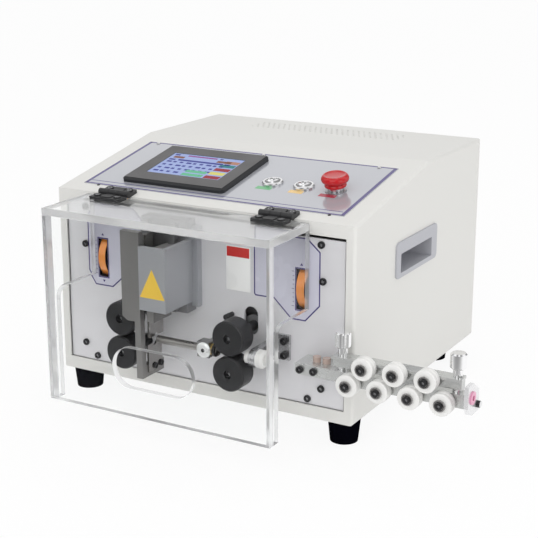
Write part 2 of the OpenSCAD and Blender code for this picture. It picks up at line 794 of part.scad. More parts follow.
// Steel tube that carries the wire to the blades
module conduit_tube() {
  color([0.65, 0.66, 0.68]) place() difference() {
    union() {
      rod_x(wire_y, wire_z, tube_r, conduit_x - 66, conduit_x + 14);
      translate([conduit_x + 12, wire_y, wire_z]) rotate([0, 90, 0]) cylinder(h = 4, r1 = tube_r, r2 = 6);
    }
    rod_x(wire_y, wire_z, 2.8, conduit_x - 70, conduit_x + 20);
    translate([conduit_x + 12, wire_y, wire_z]) rotate([0, 90, 0]) cylinder(h = 5, r1 = 2.8, r2 = 5.5);
  }
}

// Rotary solenoid that swings the tube
module conduit_solenoid() {
  color([0.25, 0.25, 0.27]) place() {
    rod_y(conduit_x, wire_z, 12, bulk_y + bulk_t, bulk_y + bulk_t + 30);
    rod_y(conduit_x, wire_z, 4, bulk_y + bulk_t + 30, bulk_y + bulk_t + 36);
  }
}

// Holder of the wire inlet, bolted to the front plate
module inlet_bracket() {
  color([0.62, 0.63, 0.65]) place() difference() {
    union() {
      block([mid_x + 93, -1, wire_z - 11], [mid_x + 120.2, plate_y, wire_z + 18.6]);
      block([mid_x + 93, wire_y - 2, wire_z - 10], [mid_x + 102, 0, wire_z + 10]);
      rod_x(wire_y, wire_z, 10, mid_x + 93, mid_x + 102);
    }
    rod_x(wire_y, wire_z, 6 + run_gap, mid_x + 90, mid_x + 110);
  }
}

// White inlet guide with two flanges
module inlet_guide() {
  color([0.93, 0.93, 0.92]) place() difference() {
    union() {
      rod_x(wire_y, wire_z, 7.5, mid_x + 87, mid_x + 92.8);
      rod_x(wire_y, wire_z, 6, mid_x + 92, mid_x + 103);
      rod_x(wire_y, wire_z, 10.5, mid_x + 102.2, mid_x + 108);
      translate([mid_x + 108, wire_y, wire_z]) rotate([0, 90, 0]) cylinder(h = 3, r1 = 10.5, r2 = 8.5);
    }
    rod_x(wire_y, wire_z, 2.5, mid_x + 80, mid_x + 120);
    translate([mid_x + 104, wire_y, wire_z]) rotate([0, 90, 0]) cylinder(h = 8, r1 = 2.5, r2 = 7.5);
  }
}

// Axle of one straightening roller with its head
module sroll_axle(x, z, wall_y) {
  rod_y(x, z, 6, wire_y + sroll_len / 2 + 0.3, wall_y + 1);
  rod_y(x, z, 4, wire_y - sroll_len / 2 - 1, wall_y + 1);
  rod_y(x, z, 6.2, wire_y - sroll_len / 2 - 2.1, wire_y - sroll_len / 2 - 0.3);
}

// Fixed lower bracket of the straightener, bent from plated steel
module straightener_bracket() {
  color([0.68, 0.7, 0.7]) place() difference() {
    union() {
      block([mid_x + 142, sbar_y, sarm_top - 12.5], [end_x, sbar_y + sbar_t, sarm_top]);
      block([mid_x + 196, sbar_y, slow_z - 5], [end_x, sbar_y + sbar_t, sarm_top]);
      block([mid_x + 142, sbar_y, sarm_top - sbar_t], [mid_x + 206, -3, sarm_top]);
      block([mid_x + 142, sbar_y, sarm_top - sbar_t], [end_x - 8, sbar_y + 16, sarm_top]);
      block([mid_x + 142, sbar_y, sarm_top - sbar_t], [end_x, sbar_y + 12, sarm_top]);
      block([mid_x + 142, sbar_y, sarm_top - sbar_t], [body_w - frame_side - 3.5, plate_y, sarm_top]);
      block([mid_x + 142, plate_y - 3, sarm_top - 20], [body_w - frame_side - 3.5, plate_y, sarm_top]);
      block([end_x - 3, sbar_y, slow_z - 5], [end_x, sbar_y + 12, sarm_top]);
      for (k = [0:3]) {
        sroll_axle(slow_x + k * sroll_pitch, slow_z, sbar_y);
      }
    }
    for (x = [knob_lx, knob_rx]) {
      rod_z(x, knob_y, stem_r + run_gap, sarm_top - 10, sarm_top + 10);
    }
    translate([mid_x + 142, sbar_y - 1, sarm_top - 12.5]) difference() {
      translate([-1, 0, -1]) cube([5, 4, 5]);
      translate([4, -1, 4]) rotate([-90, 0, 0]) cylinder(h = 8, r = 4);
    }
  }
}

// Adjustable upper bar of the straightener: wall, overhanging flange and end tab
module straightener_bar() {
  color([0.68, 0.7, 0.7]) place() difference() {
    union() {
      block([ubar_x0, sbar_y + 3, ubar_low], [ubar_x1, sbar_y + 3 + sbar_t, ubar_top]);
      block([ubar_x0, sbar_y - 0.8, ubar_top - sbar_t], [ubar_x1, sbar_y + 16, ubar_top]);
      block([ubar_x1 - 0.6, sbar_y - 0.8, ubar_low + 1], [ubar_x1 + 1.6, sbar_y + 9, ubar_top + 1]);
      for (k = [0:2]) {
        sroll_axle(sup_x + k * sroll_pitch, sup_z, sbar_y + 3);
      }
    }
    for (x = [knob_lx, knob_rx]) {
      rod_z(x, knob_y, stem_r + run_gap, ubar_low - 10, ubar_top + 10);
    }
  }
}

// White straightening roller with a shallow groove for the wire
module sroller(x, z) {
  y0 = wire_y - sroll_len / 2;
  translate([x, y0, z]) rotate([-90, 0, 0]) rotate_extrude() polygon([
    [4 + run_gap, 0], [sroll_r - 0.8, 0], [sroll_r, 0.8], [sroll_r, sroll_len / 2 - 1.5],
    [sroll_r - 1, sroll_len / 2], [sroll_r, sroll_len / 2 + 1.5], [sroll_r, sroll_len - 0.8],
    [sroll_r - 0.8, sroll_len], [4 + run_gap, sroll_len]
  ]);
}
module sroller_low(k) {
  color([0.95, 0.95, 0.94]) place() sroller(slow_x + (k - 1) * sroll_pitch, slow_z);
}
module sroller_up(k) {
  color([0.95, 0.95, 0.94]) place() sroller(sup_x + (k - 1) * sroll_pitch, sup_z);
}
module sroller_low_1() { sroller_low(1); }
module sroller_low_2() { sroller_low(2); }
module sroller_low_3() { sroller_low(3); }
module sroller_low_4() { sroller_low(4); }
module sroller_up_1() { sroller_up(1); }
module sroller_up_2() { sroller_up(2); }
module sroller_up_3() { sroller_up(3); }

// Setting knob with its screw; the left one has flutes for the fingers
module set_knob(x) {
  rod_z(x, knob_y, stem_r, sarm_top - sbar_t, ubar_top + 10);
  translate([x, knob_y, ubar_top + 9]) cylinder(h = 1.5, r1 = knob_d / 2 - 1.5, r2 = knob_d / 2);
  rod_z(x, knob_y, knob_d / 2, ubar_top + 10.5, ubar_top + 24.5);
  translate([x, knob_y, ubar_top + 24.5]) cylinder(h = 1.5, r1 = knob_d / 2, r2 = knob_d / 2 - 1.5);
}
module knob_left() {
  color([0.82, 0.82, 0.84]) place() difference() {
    set_knob(knob_lx);
    for (a = [0:45:315]) {
      translate([knob_lx, knob_y, ubar_top + 8]) rotate([0, 0, a + 8]) translate([knob_d / 2 + 2.4, 0, 0])
        cylinder(h = 20, r = 3.6);
    }
  }
}
module knob_right() {
  color([0.82, 0.82, 0.84]) place() set_knob(knob_rx);
}

// Outer plate of the straightener with its fixing screw
module end_plate() {
  color([0.8, 0.8, 0.8]) place() difference() {
    union() {
      translate([end_x, wire_y, wire_z]) rotate([90, 0, 90]) linear_extrude(end_t)
        polygon([[-11, -7], [-11, 16.3], [3.5, 17], [19.5, 5.8], [20, -17.5], [1, -17.5], [-7, -14]]);
      rod_x(wire_y + 14, wire_z - 9, 3.6, end_x + end_t - 1, end_x + end_t + 4.5);
    }
    rod_x(wire_y, wire_z + 2, 5, end_x - 1, end_x + end_t + 1);
  }
}

// Pink ceramic wire guides: the eyelet at the outer end and two posts
module ceramic_eyelets() {
  color([0.9, 0.62, 0.72]) place() {
    difference() {
      union() {
        rod_x(wire_y, wire_z + 2, 5, end_x, end_x + end_t);
        rod_x(wire_y, wire_z + 2, eye_r, end_x - 1.6, end_x);
        rod_x(wire_y, wire_z + 2, eye_r, end_x + end_t, end_x + end_t + 1.6);
      }
      rod_x(wire_y, wire_z + 2, 3, end_x - 5, end_x + end_t + 5);
    }
    for (x = [mid_x + 161, mid_x + 173]) {
      rod_z(x, -12, 4.5, sarm_top, sarm_top + 6);
    }
  }
}

// Closed power supply with a perforated lid
module power_supply() {
  color([0.7, 0.71, 0.72]) place() difference() {
    block([30, 200, sheet_t], [mid_x + 29, 298, sheet_t + 42]);
    for (i = [0:9]) {
      for (j = [0:4]) {
        rod_z(60 + i * 15, 215 + j * 17, 3, sheet_t + 40, sheet_t + 44);
      }
    }
  }
}

// Control board on four posts, with its larger parts
module control_board() {
  edge = body_w - 20;
  color([0.1, 0.35, 0.2]) place() {
    block([edge - 130, 180, sheet_t + 8], [edge, 320, sheet_t + 9.6]);
    for (x = [edge - 123, edge - 7]) {
      for (y = [187, 313]) {
        rod_z(x, y, 3, sheet_t, sheet_t + 8.5);
      }
    }
    for (k = [0:3]) {
      block([edge - 116 + k * 28, 200, sheet_t + 9], [edge - 96 + k * 28, 240, sheet_t + 27]);
    }
    block([edge - 110, 262, sheet_t + 9], [edge - 80, 292, sheet_t + 13]);
    rod_z(edge - 50, 280, 9, sheet_t + 9, sheet_t + 36);
    rod_z(edge - 25, 280, 9, sheet_t + 9, sheet_t + 36);
  }
}

// Square frame of the cooling fan
module fan_frame() {
  y1 = body_d - back_t;
  color([0.13, 0.13, 0.14]) place() {
    difference() {
      block([fan_x - 30, y1 - 25, fan_z - 30], [fan_x + 30, y1, fan_z + 30]);
      rod_y(fan_x, fan_z, 28.5, y1 - 26, y1 - 3);
      rod_y(fan_x, fan_z, 27, y1 - 4, y1 + 1);
    }
    rod_y(fan_x, fan_z, 11, y1 - 25, y1 - 22);
    for (a = [0:90:270]) {
      rotate_about_fan(a + 45) block([fan_x + 9, y1 - 25, fan_z - 2], [fan_x + 29.5, y1 - 22, fan_z + 2]);
    }
  }
}

// Hub and blades of the cooling fan
module fan_rotor() {
  y1 = body_d - back_t;
  color([0.18, 0.18, 0.19]) place() {
    rod_y(fan_x, fan_z, 12, y1 - 21.5, y1 - 5);
    for (a = [0:60:300]) {
      rotate_about_fan(a) translate([fan_x + 11, y1 - 13, fan_z]) rotate([35, 0, 0])
        cube([16, 12, 1.4], center = false);
    }
  }
}

// Mains inlet with its shroud; three pins inside
module mains_inlet() {
  color([0.1, 0.1, 0.11]) place() {
    difference() {
      union() {
        block([inlet_x - 24, body_d, inlet_z - 13], [inlet_x + 24, body_d + 3, inlet_z + 13]);
        block([inlet_x - 15.5, body_d + 1, inlet_z - 12], [inlet_x + 15.5, body_d + 5, inlet_z + 12]);
        block([inlet_x - 13.5, body_d - 24, inlet_z - 10], [inlet_x + 13.5, body_d + 1, inlet_z + 10]);
      }
      block([inlet_x - 12, body_d - 17, inlet_z - 8], [inlet_x + 12, body_d + 6, inlet_z + 8]);
    }
    for (k = [-1, 0, 1]) {
      block([inlet_x + k * 7 - 1, body_d - 18, inlet_z - 2 + abs(k) * -2],
        [inlet_x + k * 7 + 1, body_d - 2, inlet_z + 2 + abs(k) * -2]);
    }
    difference() {
      union() {
        block([inlet_x - 12, body_d, rocker_z - 16], [inlet_x + 12, body_d + 2, rocker_z + 16]);
        block([inlet_x - 9.5, body_d - 22, rocker_z - 13.5], [inlet_x + 9.5, body_d + 1, rocker_z + 13.5]);
      }
      block([inlet_x - 7, body_d - 15, rocker_z - 11.5], [inlet_x + 7, body_d + 6, rocker_z + 11.5]);
    }
  }
}

// Rocker of the main switch
module power_rocker() {
  color([0.08, 0.08, 0.09]) place() intersection() {
    rod_x(body_d - 7, rocker_z, 11.2, inlet_x - 6.7, inlet_x + 6.7);
    translate([inlet_x - 10, body_d - 7, rocker_z]) rotate([8, 0, 0]) difference() {
      translate([0, -4, -10.5]) cube([20, 14.5, 21]);
      rod_x(17.5, 0, 10, -1, 21);
    }
  }
}

housing_shell();
base_plate();
back_panel();
feet();
front_plate();
control_overlay();
hmi_housing();
hmi_screen();
button_bezels();
start_button();
stop_button();
estop_collar();
estop_plunger();
estop_head();
side_handles();
adjuster_plates();
thumbwheel_left();
thumbwheel_right();
hinge_fixed_leaves();
hinge_cover_leaves();
safety_cover();
cutter_base();
cutter_guard();
lower_slide();
upper_slide();
lower_blade();
upper_blade();
cutter_pinion();
drive_motors();
motor_bulkhead();
roller_left_lower();
roller_left_upper();
roller_right_lower();
roller_right_upper();
arm_left();
arm_right();
conduit_block();
conduit_tube();
conduit_solenoid();
inlet_bracket();
inlet_guide();
straightener_bracket();
straightener_bar();
sroller_low_1();
sroller_low_2();
sroller_low_3();
sroller_low_4();
sroller_up_1();
sroller_up_2();
sroller_up_3();
knob_left();
knob_right();
end_plate();
ceramic_eyelets();
power_supply();
control_board();
fan_frame();
fan_rotor();
mains_inlet();
power_rocker();
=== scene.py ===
import math
import bpy
import bmesh
from mathutils import Matrix, Vector


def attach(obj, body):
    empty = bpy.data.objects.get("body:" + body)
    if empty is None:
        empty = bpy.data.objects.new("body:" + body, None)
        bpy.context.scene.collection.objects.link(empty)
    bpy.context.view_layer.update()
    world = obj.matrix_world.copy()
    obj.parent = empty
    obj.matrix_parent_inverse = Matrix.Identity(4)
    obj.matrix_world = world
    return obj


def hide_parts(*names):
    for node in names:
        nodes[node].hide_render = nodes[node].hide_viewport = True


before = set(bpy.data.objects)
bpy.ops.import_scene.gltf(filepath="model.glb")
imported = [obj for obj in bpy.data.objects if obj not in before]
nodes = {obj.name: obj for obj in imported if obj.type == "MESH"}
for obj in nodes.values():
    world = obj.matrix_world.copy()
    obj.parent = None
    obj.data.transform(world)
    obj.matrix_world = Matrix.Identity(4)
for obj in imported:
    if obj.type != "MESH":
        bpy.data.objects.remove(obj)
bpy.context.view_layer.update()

# Camera of the photograph: a short telephoto from the front right, a little above the machine.
# It was fitted to the corners of the housing.
view_from = (0.6955, -1.3342, 0.5908)
view_down, view_round = 16.09, 29.61
sensor_mm, lens_mm = 36, 86.13
cam = bpy.data.objects.new("camera", bpy.data.cameras.new("camera"))
bpy.context.scene.collection.objects.link(cam)
cam.location = view_from
cam.rotation_euler = (math.radians(90 - view_down), 0, math.radians(view_round))
cam.data.sensor_width = sensor_mm
cam.data.lens = lens_mm
cam.data.clip_start = 0.05
cam.data.clip_end = 30
bpy.context.scene.camera = cam
bpy.context.scene.view_settings.view_transform = "Standard"

# Studio: a pale floor that keeps a soft shadow, an even white surround and three large soft lamps.
# The camera sees the surround white, also through the clear cover. Reflections show four soft
# boxes round the machine with dim gaps between them, and a dim room in front.
def feed(tree, socket, value):
    """Sets a node's input to a number, or links it to another node's output."""
    if isinstance(value, bpy.types.NodeSocket):
        tree.links.new(value, socket)
    else:
        socket.default_value = value


def maths(tree, operation, *values):
    """Adds a sum of the given kind and returns its result."""
    step = tree.nodes.new("ShaderNodeMath")
    step.operation = operation
    for socket, value in zip(step.inputs, values):
        feed(tree, socket, value)
    return step.outputs[0]


def ramp(tree, value, span, ends, soft=True):
    """Adds a run from one end to the other while a value crosses a span, and returns its result."""
    step = tree.nodes.new("ShaderNodeMapRange")
    step.interpolation_type = "SMOOTHSTEP" if soft else "LINEAR"
    step.inputs["From Min"].default_value, step.inputs["From Max"].default_value = span
    step.inputs["To Min"].default_value, step.inputs["To Max"].default_value = ends
    tree.links.new(value, step.inputs["Value"])
    return step.outputs["Result"]


def blend(tree, share, first, second):
    """Adds a mix of two numbers by the share of the second, and returns its result."""
    step = tree.nodes.new("ShaderNodeMix")
    for name, value in (("Factor", share), ("A", first), ("B", second)):
        feed(tree, step.inputs[name], value)
    return step.outputs["Result"]


surround, dim_room = 0.86, 0.12
bright_way, room_span = (-0.25, 0.55, 0.8), (-0.35, 0.55)
box_count, box_turn, box_gap = 4, 122, 0.28
world = bpy.data.worlds.new("studio")
bpy.context.scene.world = world
world.use_nodes = True
sky = world.node_tree
ray = sky.nodes.new("ShaderNodeLightPath").outputs
towards = sky.nodes.new("ShaderNodeTexCoord").outputs["Generated"]
tilt = sky.nodes.new("ShaderNodeVectorMath")
tilt.operation = "DOT_PRODUCT"
tilt.inputs[1].default_value = bright_way
sky.links.new(towards, tilt.inputs[0])
room = ramp(sky, tilt.outputs["Value"], room_span, (dim_room, 1.0))
aim = sky.nodes.new("ShaderNodeSeparateXYZ")
sky.links.new(towards, aim.inputs["Vector"])
heading = maths(sky, "ARCTAN2", aim.outputs["Y"], aim.outputs["X"])
phase = maths(sky, "MULTIPLY_ADD", heading, box_count, -box_count * math.radians(box_turn))
boxes = ramp(sky, maths(sky, "COSINE", phase), (-1.0, 1.0), (box_gap, 1.0), soft=False)
mirrored = blend(sky, ray["Is Glossy Ray"], surround, maths(sky, "MULTIPLY", room, boxes))
seen = maths(sky, "MAXIMUM", ray["Is Camera Ray"], ray["Is Transmission Ray"])
back = sky.nodes["Background"]
back.inputs["Color"].default_value = (1, 1, 1, 1)
sky.links.new(blend(sky, seen, mirrored, 1.0), back.inputs["Strength"])

floor_white, floor_half, floor_lift = (0.93, 0.93, 0.93, 1), 14.0, 0.9
dim_floor, floor_span = 0.22, (-0.6, -0.18)
bm = bmesh.new()
bmesh.ops.create_grid(bm, x_segments=2, y_segments=2, size=floor_half)
floor_mesh = bpy.data.meshes.new("floor")
bm.to_mesh(floor_mesh)
bm.free()
floor = bpy.data.objects.new("floor", floor_mesh)
bpy.context.scene.collection.objects.link(floor)
floor_mat = bpy.data.materials.new("floor")
floor_mat.use_nodes = True
floor_mesh.materials.append(floor_mat)
ground = floor_mat.node_tree
matt = ground.nodes["Principled BSDF"]
matt.inputs["Base Color"].default_value = floor_white
matt.inputs["Roughness"].default_value = 0.9
matt.inputs["Specular IOR Level"].default_value = 0.1
ray = ground.nodes.new("ShaderNodeLightPath").outputs
spot = ground.nodes.new("ShaderNodeNewGeometry")
split = ground.nodes.new("ShaderNodeSeparateXYZ")
ground.links.new(spot.outputs["Position"], split.inputs["Vector"])
sweep = ramp(ground, split.outputs["Y"], floor_span, (dim_floor, 1.0))
white = ground.nodes.new("ShaderNodeEmission")
ground.links.new(blend(ground, ray["Is Glossy Ray"], 1.0, sweep), white.inputs["Strength"])
seen = maths(ground, "MAXIMUM", ray["Is Camera Ray"], ray["Is Transmission Ray"])
seen = maths(ground, "MAXIMUM", seen, ray["Is Glossy Ray"])
lift = ground.nodes.new("ShaderNodeMixShader")
ground.links.new(maths(ground, "MULTIPLY", seen, floor_lift), lift.inputs[0])
ground.links.new(matt.outputs[0], lift.inputs[1])
ground.links.new(white.outputs[0], lift.inputs[2])
ground.links.new(lift.outputs[0], ground.nodes["Material Output"].inputs["Surface"])


def soft_lamp(name, place, target, size, power):
    """Hangs a square lamp at a place, turned to a target."""
    data = bpy.data.lights.new(name, "AREA")
    data.shape = "SQUARE"
    data.size = size
    data.energy = power
    lamp = bpy.data.objects.new(name, data)
    bpy.context.scene.collection.objects.link(lamp)
    lamp.location = place
    lamp.rotation_euler = (Vector(target) - Vector(place)).to_track_quat("-Z", "Y").to_euler()


soft_lamp("front_lamp", (0.1, -2.0, 1.2), (0, 0, 0.12), 1.6, 10)
soft_lamp("side_lamp", (2.2, -0.9, 0.6), (0, 0, 0.12), 1.6, 9.5)
soft_lamp("top_lamp", (0.3, 0.2, 2.4), (0, 0, 0.1), 1.8, 4)

# Housing: one welded shell of bent sheet steel with a warm white powder coat.
# The rear panel is screwed in, the same coat on both.
middle_x, middle_y, foot_h = 276.5, 140.5, 28
cloud_detail, grain_detail, cloud_span, grain_depth = 5.0, 3.0, (0.3, 0.7), 0.0005


def at(x, y, z):
    """Housing millimetres, from its front left bottom corner, to the shared frame in metres."""
    return Vector(((x - middle_x) / 1000, (y - middle_y) / 1000, (z + foot_h) / 1000))


def noise(tree, spot, scale, detail):
    """Adds soft noise over a piece's own coordinates and returns its value."""
    place = tree.nodes.new("ShaderNodeMapping")
    place.inputs["Scale"].default_value = scale
    tree.links.new(spot, place.inputs["Vector"])
    cloud = tree.nodes.new("ShaderNodeTexNoise")
    cloud.inputs["Scale"].default_value = 1.0
    cloud.inputs["Detail"].default_value = detail
    tree.links.new(place.outputs["Vector"], cloud.inputs["Vector"])
    return cloud.outputs["Fac"]


def finish(name, colour, rough, metal=0.0, mottle=0.05, patch=18, grain=1400, bump=0.05,
           spread=0.06, coat=0.0, shine=0.5, grain_stretch=(1, 1, 1)):
    """A surface with soft uneven colour and gloss and a fine relief of its own grain."""
    mat = bpy.data.materials.new(name)
    mat.use_nodes = True
    tree = mat.node_tree
    skin = tree.nodes["Principled BSDF"]
    skin.inputs["Metallic"].default_value = metal
    skin.inputs["Coat Weight"].default_value = coat
    skin.inputs["Specular IOR Level"].default_value = shine
    spot = tree.nodes.new("ShaderNodeTexCoord").outputs["Object"]
    cloud = noise(tree, spot, patch if isinstance(patch, tuple) else (patch,) * 3, cloud_detail)
    tint = tree.nodes.new("ShaderNodeMix")
    tint.data_type = "RGBA"
    tint.inputs["A"].default_value = (*(max(0.0, c * (1 - mottle)) for c in colour), 1)
    tint.inputs["B"].default_value = (*(min(1.0, c * (1 + mottle)) for c in colour), 1)
    tree.links.new(cloud, tint.inputs["Factor"])
    tree.links.new(tint.outputs["Result"], skin.inputs["Base Color"])
    dull = (max(0.02, rough - spread), min(1.0, rough + spread))
    tree.links.new(ramp(tree, cloud, cloud_span, dull, soft=False), skin.inputs["Roughness"])
    if bump > 0:
        relief = tree.nodes.new("ShaderNodeBump")
        relief.inputs["Strength"].default_value = bump
        relief.inputs["Distance"].default_value = grain_depth
        tooth = noise(tree, spot, tuple(grain * s for s in grain_stretch), grain_detail)
        tree.links.new(tooth, relief.inputs["Height"])
        tree.links.new(relief.outputs["Normal"], skin.inputs["Normal"])
    return mat


def wear(mat, *names):
    """Gives CAD pieces this surface."""
    for name in names:
        data = nodes[name].data
        if not data.materials:
            data.materials.append(mat)
        for i in range(len(data.materials)):
            data.materials[i] = mat


powder_coat = finish("powder_coat", (0.72, 0.715, 0.69), 0.48, mottle=0.02, patch=9, grain=900,
                     bump=0.12)
wear(powder_coat, "housing_shell", "back_panel")

# Base sheet and feet: a plated sheet closes the housing from below.
# Four cones of black rubber are screwed up into it.
base_zinc = finish("base_zinc", (0.5, 0.52, 0.53), 0.42, metal=0.9, mottle=0.12, patch=60,
                   grain=300, bump=0.08)
wear(base_zinc, "base_plate")
foot_rubber = finish("foot_rubber", (0.002, 0.002, 0.004), 0.9, mottle=0.25, patch=50, grain=700,
                     bump=0.25, shine=0.0)
wear(foot_rubber, "feet")

# Front plate: bare rolled sheet, screwed to the frame from the front with black cap screws.
# A blank white plate with a red band is glued on it, and a rubber pin stops the swinging tube.
def piece(name, bm, mats, body, soft=25):
    """Ends a mesh as a finished piece that rides on a body."""
    bmesh.ops.recalc_face_normals(bm, faces=bm.faces[:])
    for f in bm.faces:
        f.smooth = True
    mesh = bpy.data.meshes.new(name)
    bm.to_mesh(mesh)
    bm.free()
    for mat in mats:
        mesh.materials.append(mat)
    mesh.set_sharp_from_angle(angle=math.radians(soft))
    obj = bpy.data.objects.new(name, mesh)
    bpy.context.scene.collection.objects.link(obj)
    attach(obj, body)
    return obj


def fresh(group, old):
    """The edges or faces of a mesh that stand on none of the old corners."""
    return [g for g in group if g.verts[0] not in old]


def stand(centre, out):
    """Puts a shape drawn in millimetres about z with its foot at centre and its axis along out."""
    turn = Vector(out).to_track_quat("Z", "Y").to_matrix().to_4x4()
    return Matrix.Translation(at(*centre)) @ turn @ Matrix.Scale(0.001, 4)


head_round, head_lip, key_draft, key_deep = 0.14, 0.2, 0.02, 0.55


def socket_screw(bm, centre, out, head):
    """Adds a cap screw head of the given radius, height and key width.

    The floor of its six sided socket takes the second material, a lighter grey painted in as a
    highlight.
    """
    r, h, key = head
    sixth = math.pi / 3
    old = set(bm.verts)
    bmesh.ops.create_cone(bm, cap_ends=True, segments=24, radius1=r, radius2=r, depth=h,
                          matrix=Matrix.Translation((0, 0, h / 2)))
    rim = [e for e in bm.edges if all(v not in old and v.co.z > h * 0.99 for v in e.verts)]
    bmesh.ops.bevel(bm, geom=rim, offset=r * head_round, segments=2, profile=0.5, affect="EDGES",
                    material=-1)
    top = max(fresh(bm.faces, old), key=lambda f: (len(f.verts), f.calc_center_median().z))
    bm.normal_update()
    bmesh.ops.inset_region(bm, faces=[top], thickness=r * head_lip)
    for v in top.verts:
        turn = math.atan2(v.co.y, v.co.x)
        side = (turn + sixth / 2) % sixth - sixth / 2
        reach = key / 2 / math.cos(side)
        v.co.x, v.co.y = reach * math.cos(turn), reach * math.sin(turn)
    bm.normal_update()
    bmesh.ops.inset_region(bm, faces=[top], thickness=key * key_draft, depth=-h * key_deep)
    # The socket floor takes the painted highlight.
    top.material_index = 1
    made = [v for v in bm.verts if v not in old]
    bmesh.ops.transform(bm, matrix=stand(centre, out), verts=made)


def block(bm, place, low, high, soften=0.0, mat=0):
    """Adds a block between two corners in a placed frame's millimetres, edges rounded by soften."""
    old = set(bm.verts)
    middle = Matrix.Translation([(a + b) / 2 for a, b in zip(low, high)])
    size = Matrix.Diagonal((*(b - a for a, b in zip(low, high)), 1))
    bmesh.ops.create_cube(bm, size=1.0, matrix=place @ middle @ size)
    if soften:
        bmesh.ops.bevel(bm, geom=fresh(bm.edges, old), offset=soften / 1000, segments=2,
                        profile=0.5, affect="EDGES", material=-1)
    for f in fresh(bm.faces, old):
        f.material_index = mat


def turned(bm, profile, centre, out, steps=32):
    """Adds a turned shape: its profile holds (radius, height) pairs in millimetres."""
    old = set(bm.verts)
    line = [bm.verts.new((r, 0, h)) for r, h in profile]
    edges = [bm.edges.new(pair) for pair in zip(line, line[1:])]
    bmesh.ops.spin(bm, geom=line + edges, axis=(0, 0, 1), cent=(0, 0, 0), dvec=(0, 0, 0),
                   angle=2 * math.pi, steps=steps, use_merge=True)
    bmesh.ops.remove_doubles(bm, verts=[v for v in bm.verts if v not in old], dist=0.0001)
    made = [v for v in bm.verts if v not in old]
    bmesh.ops.transform(bm, matrix=stand(centre, out), verts=made)


in_housing = Matrix.Translation(at(0, 0, 0)) @ Matrix.Scale(0.001, 4)
ahead, plate_front = (0, -1, 0), 3
plate_steel = finish("plate_steel", (0.73, 0.725, 0.745), 0.42, metal=0.15, patch=(4, 40, 40),
                     grain=500, grain_stretch=(0.06, 1, 1))
wear(plate_steel, "front_plate")
bm = bmesh.new()
block(bm, in_housing, (11.7, 3.2, 15.4), (13.9, 3.6, 208.8), 0.1)
piece("plate_lip", bm, [plate_steel], "frame")

black_screw = finish("black_screw", (0.02, 0.02, 0.022), 0.3, metal=0.2, mottle=0.2, patch=200,
                     bump=0.1)
# Socket floors: a lighter grey painted in as the highlight inside the black screws' sockets.
socket_highlight = finish("socket_highlight", (0.3, 0.3, 0.31), 0.3, metal=0.5, mottle=0.2, patch=200,
                      bump=0.1)
screw_mats = [black_screw, socket_highlight]
plate_head = (4.2, 2.6, 3.6)
plate_screws = [(34, 36.2), (51, 21.4), (341.9, 21.4), (358.8, 36.1), (36.8, 162.4), (359.9, 161.2),
                (357.5, 202.3), (38, 202)]
bm = bmesh.new()
for x, z in plate_screws:
    socket_screw(bm, (x, plate_front + 0.05, z), ahead, plate_head)
piece("plate_screws", bm, screw_mats, "frame")

sign_white = finish("sign_white", (0.95, 0.95, 0.94), 0.3, mottle=0.03, bump=0.02)
sign_red = finish("sign_red", (0.62, 0.03, 0.025), 0.3, mottle=0.06, bump=0.02)
bm = bmesh.new()
block(bm, in_housing, (237, 2.5, 135), (268.5, 3.02, 187), 0.15)
block(bm, in_housing, (238, 2.4, 174.5), (267.5, 2.6, 186), 0.05, mat=1)
piece("blank_sign", bm, [sign_white, sign_red], "frame")

stop_rubber = finish("stop_rubber", (0.025, 0.025, 0.027), 0.55, mottle=0.2, patch=90, bump=0.2)
stop_profile = [(0, 0), (2.8, 0), (2.8, 6), (3.3, 6.6), (3.3, 15), (2.6, 16), (0, 16)]
bm = bmesh.new()
turned(bm, stop_profile, (244.5, plate_front + 0.02, 106), ahead)
piece("tube_stop", bm, [stop_rubber], "frame")

# Control overlay: a glossy printed sheet glued on the slope, with a violet line round its edge.
# The line is thicker at the sides, and a second thin one runs behind the front edge.
# Small bright screws sit at its rear edge and black pins in front of it.
front_h, top_h, slope_run = 228, 265, 195
slope = math.atan2(top_h - front_h, slope_run)
slope_up = (0, -math.sin(slope), math.cos(slope))
in_slope = (Matrix.Translation(at(0, 0, front_h)) @ Matrix.Rotation(slope, 4, "X")
            @ Matrix.Scale(0.001, 4))


def slope_point(x, s, n):
    """Housing millimetres of a point x to the right, s up the slope and n off its face."""
    return (x, s * math.cos(slope) - n * math.sin(slope),
            front_h + s * math.sin(slope) + n * math.cos(slope))


overlay_film = finish("overlay_film", (0.45, 0.46, 0.5), 0.16, metal=0.2, mottle=0.03, patch=14,
                      grain=700, bump=0.02, spread=0.04, coat=0.6)
wear(overlay_film, "control_overlay")
violet_print = finish("violet_print", (0.075, 0.058, 0.2), 0.2, mottle=0.1, patch=60, bump=0.02)
film_n, print_low, print_high = 0.6, 0.58, 0.68
screw_s, pin_s, pin_n = 161.5, 20, 0.02
bm = bmesh.new()
for low, high in (((26, 162.8), (374, 165)), ((26, 21.6), (374, 24)), ((25.6, 22), (29.4, 165)),
                  ((370.2, 22), (374.4, 165)), ((30, 30.4), (369, 31.6))):
    block(bm, in_slope, (*low, print_low), (*high, print_high))
piece("overlay_lines", bm, [violet_print], "frame")

label_finish = [finish("label_green", (0.16, 0.46, 0.22), 0.25, mottle=0.08, bump=0.02),
                finish("label_amber", (0.8, 0.55, 0.22), 0.25, mottle=0.08, bump=0.02),
                finish("label_red", (0.42, 0.03, 0.06), 0.25, mottle=0.08, bump=0.02)]
label_low, label_high = 63.5, 71.5
bm = bmesh.new()
for k, (x0, x1) in enumerate(((239, 259), (282, 300), (321, 342))):
    block(bm, in_slope, (x0, label_low, print_low), (x1, label_high, print_high), mat=k)
piece("button_labels", bm, label_finish, "frame")

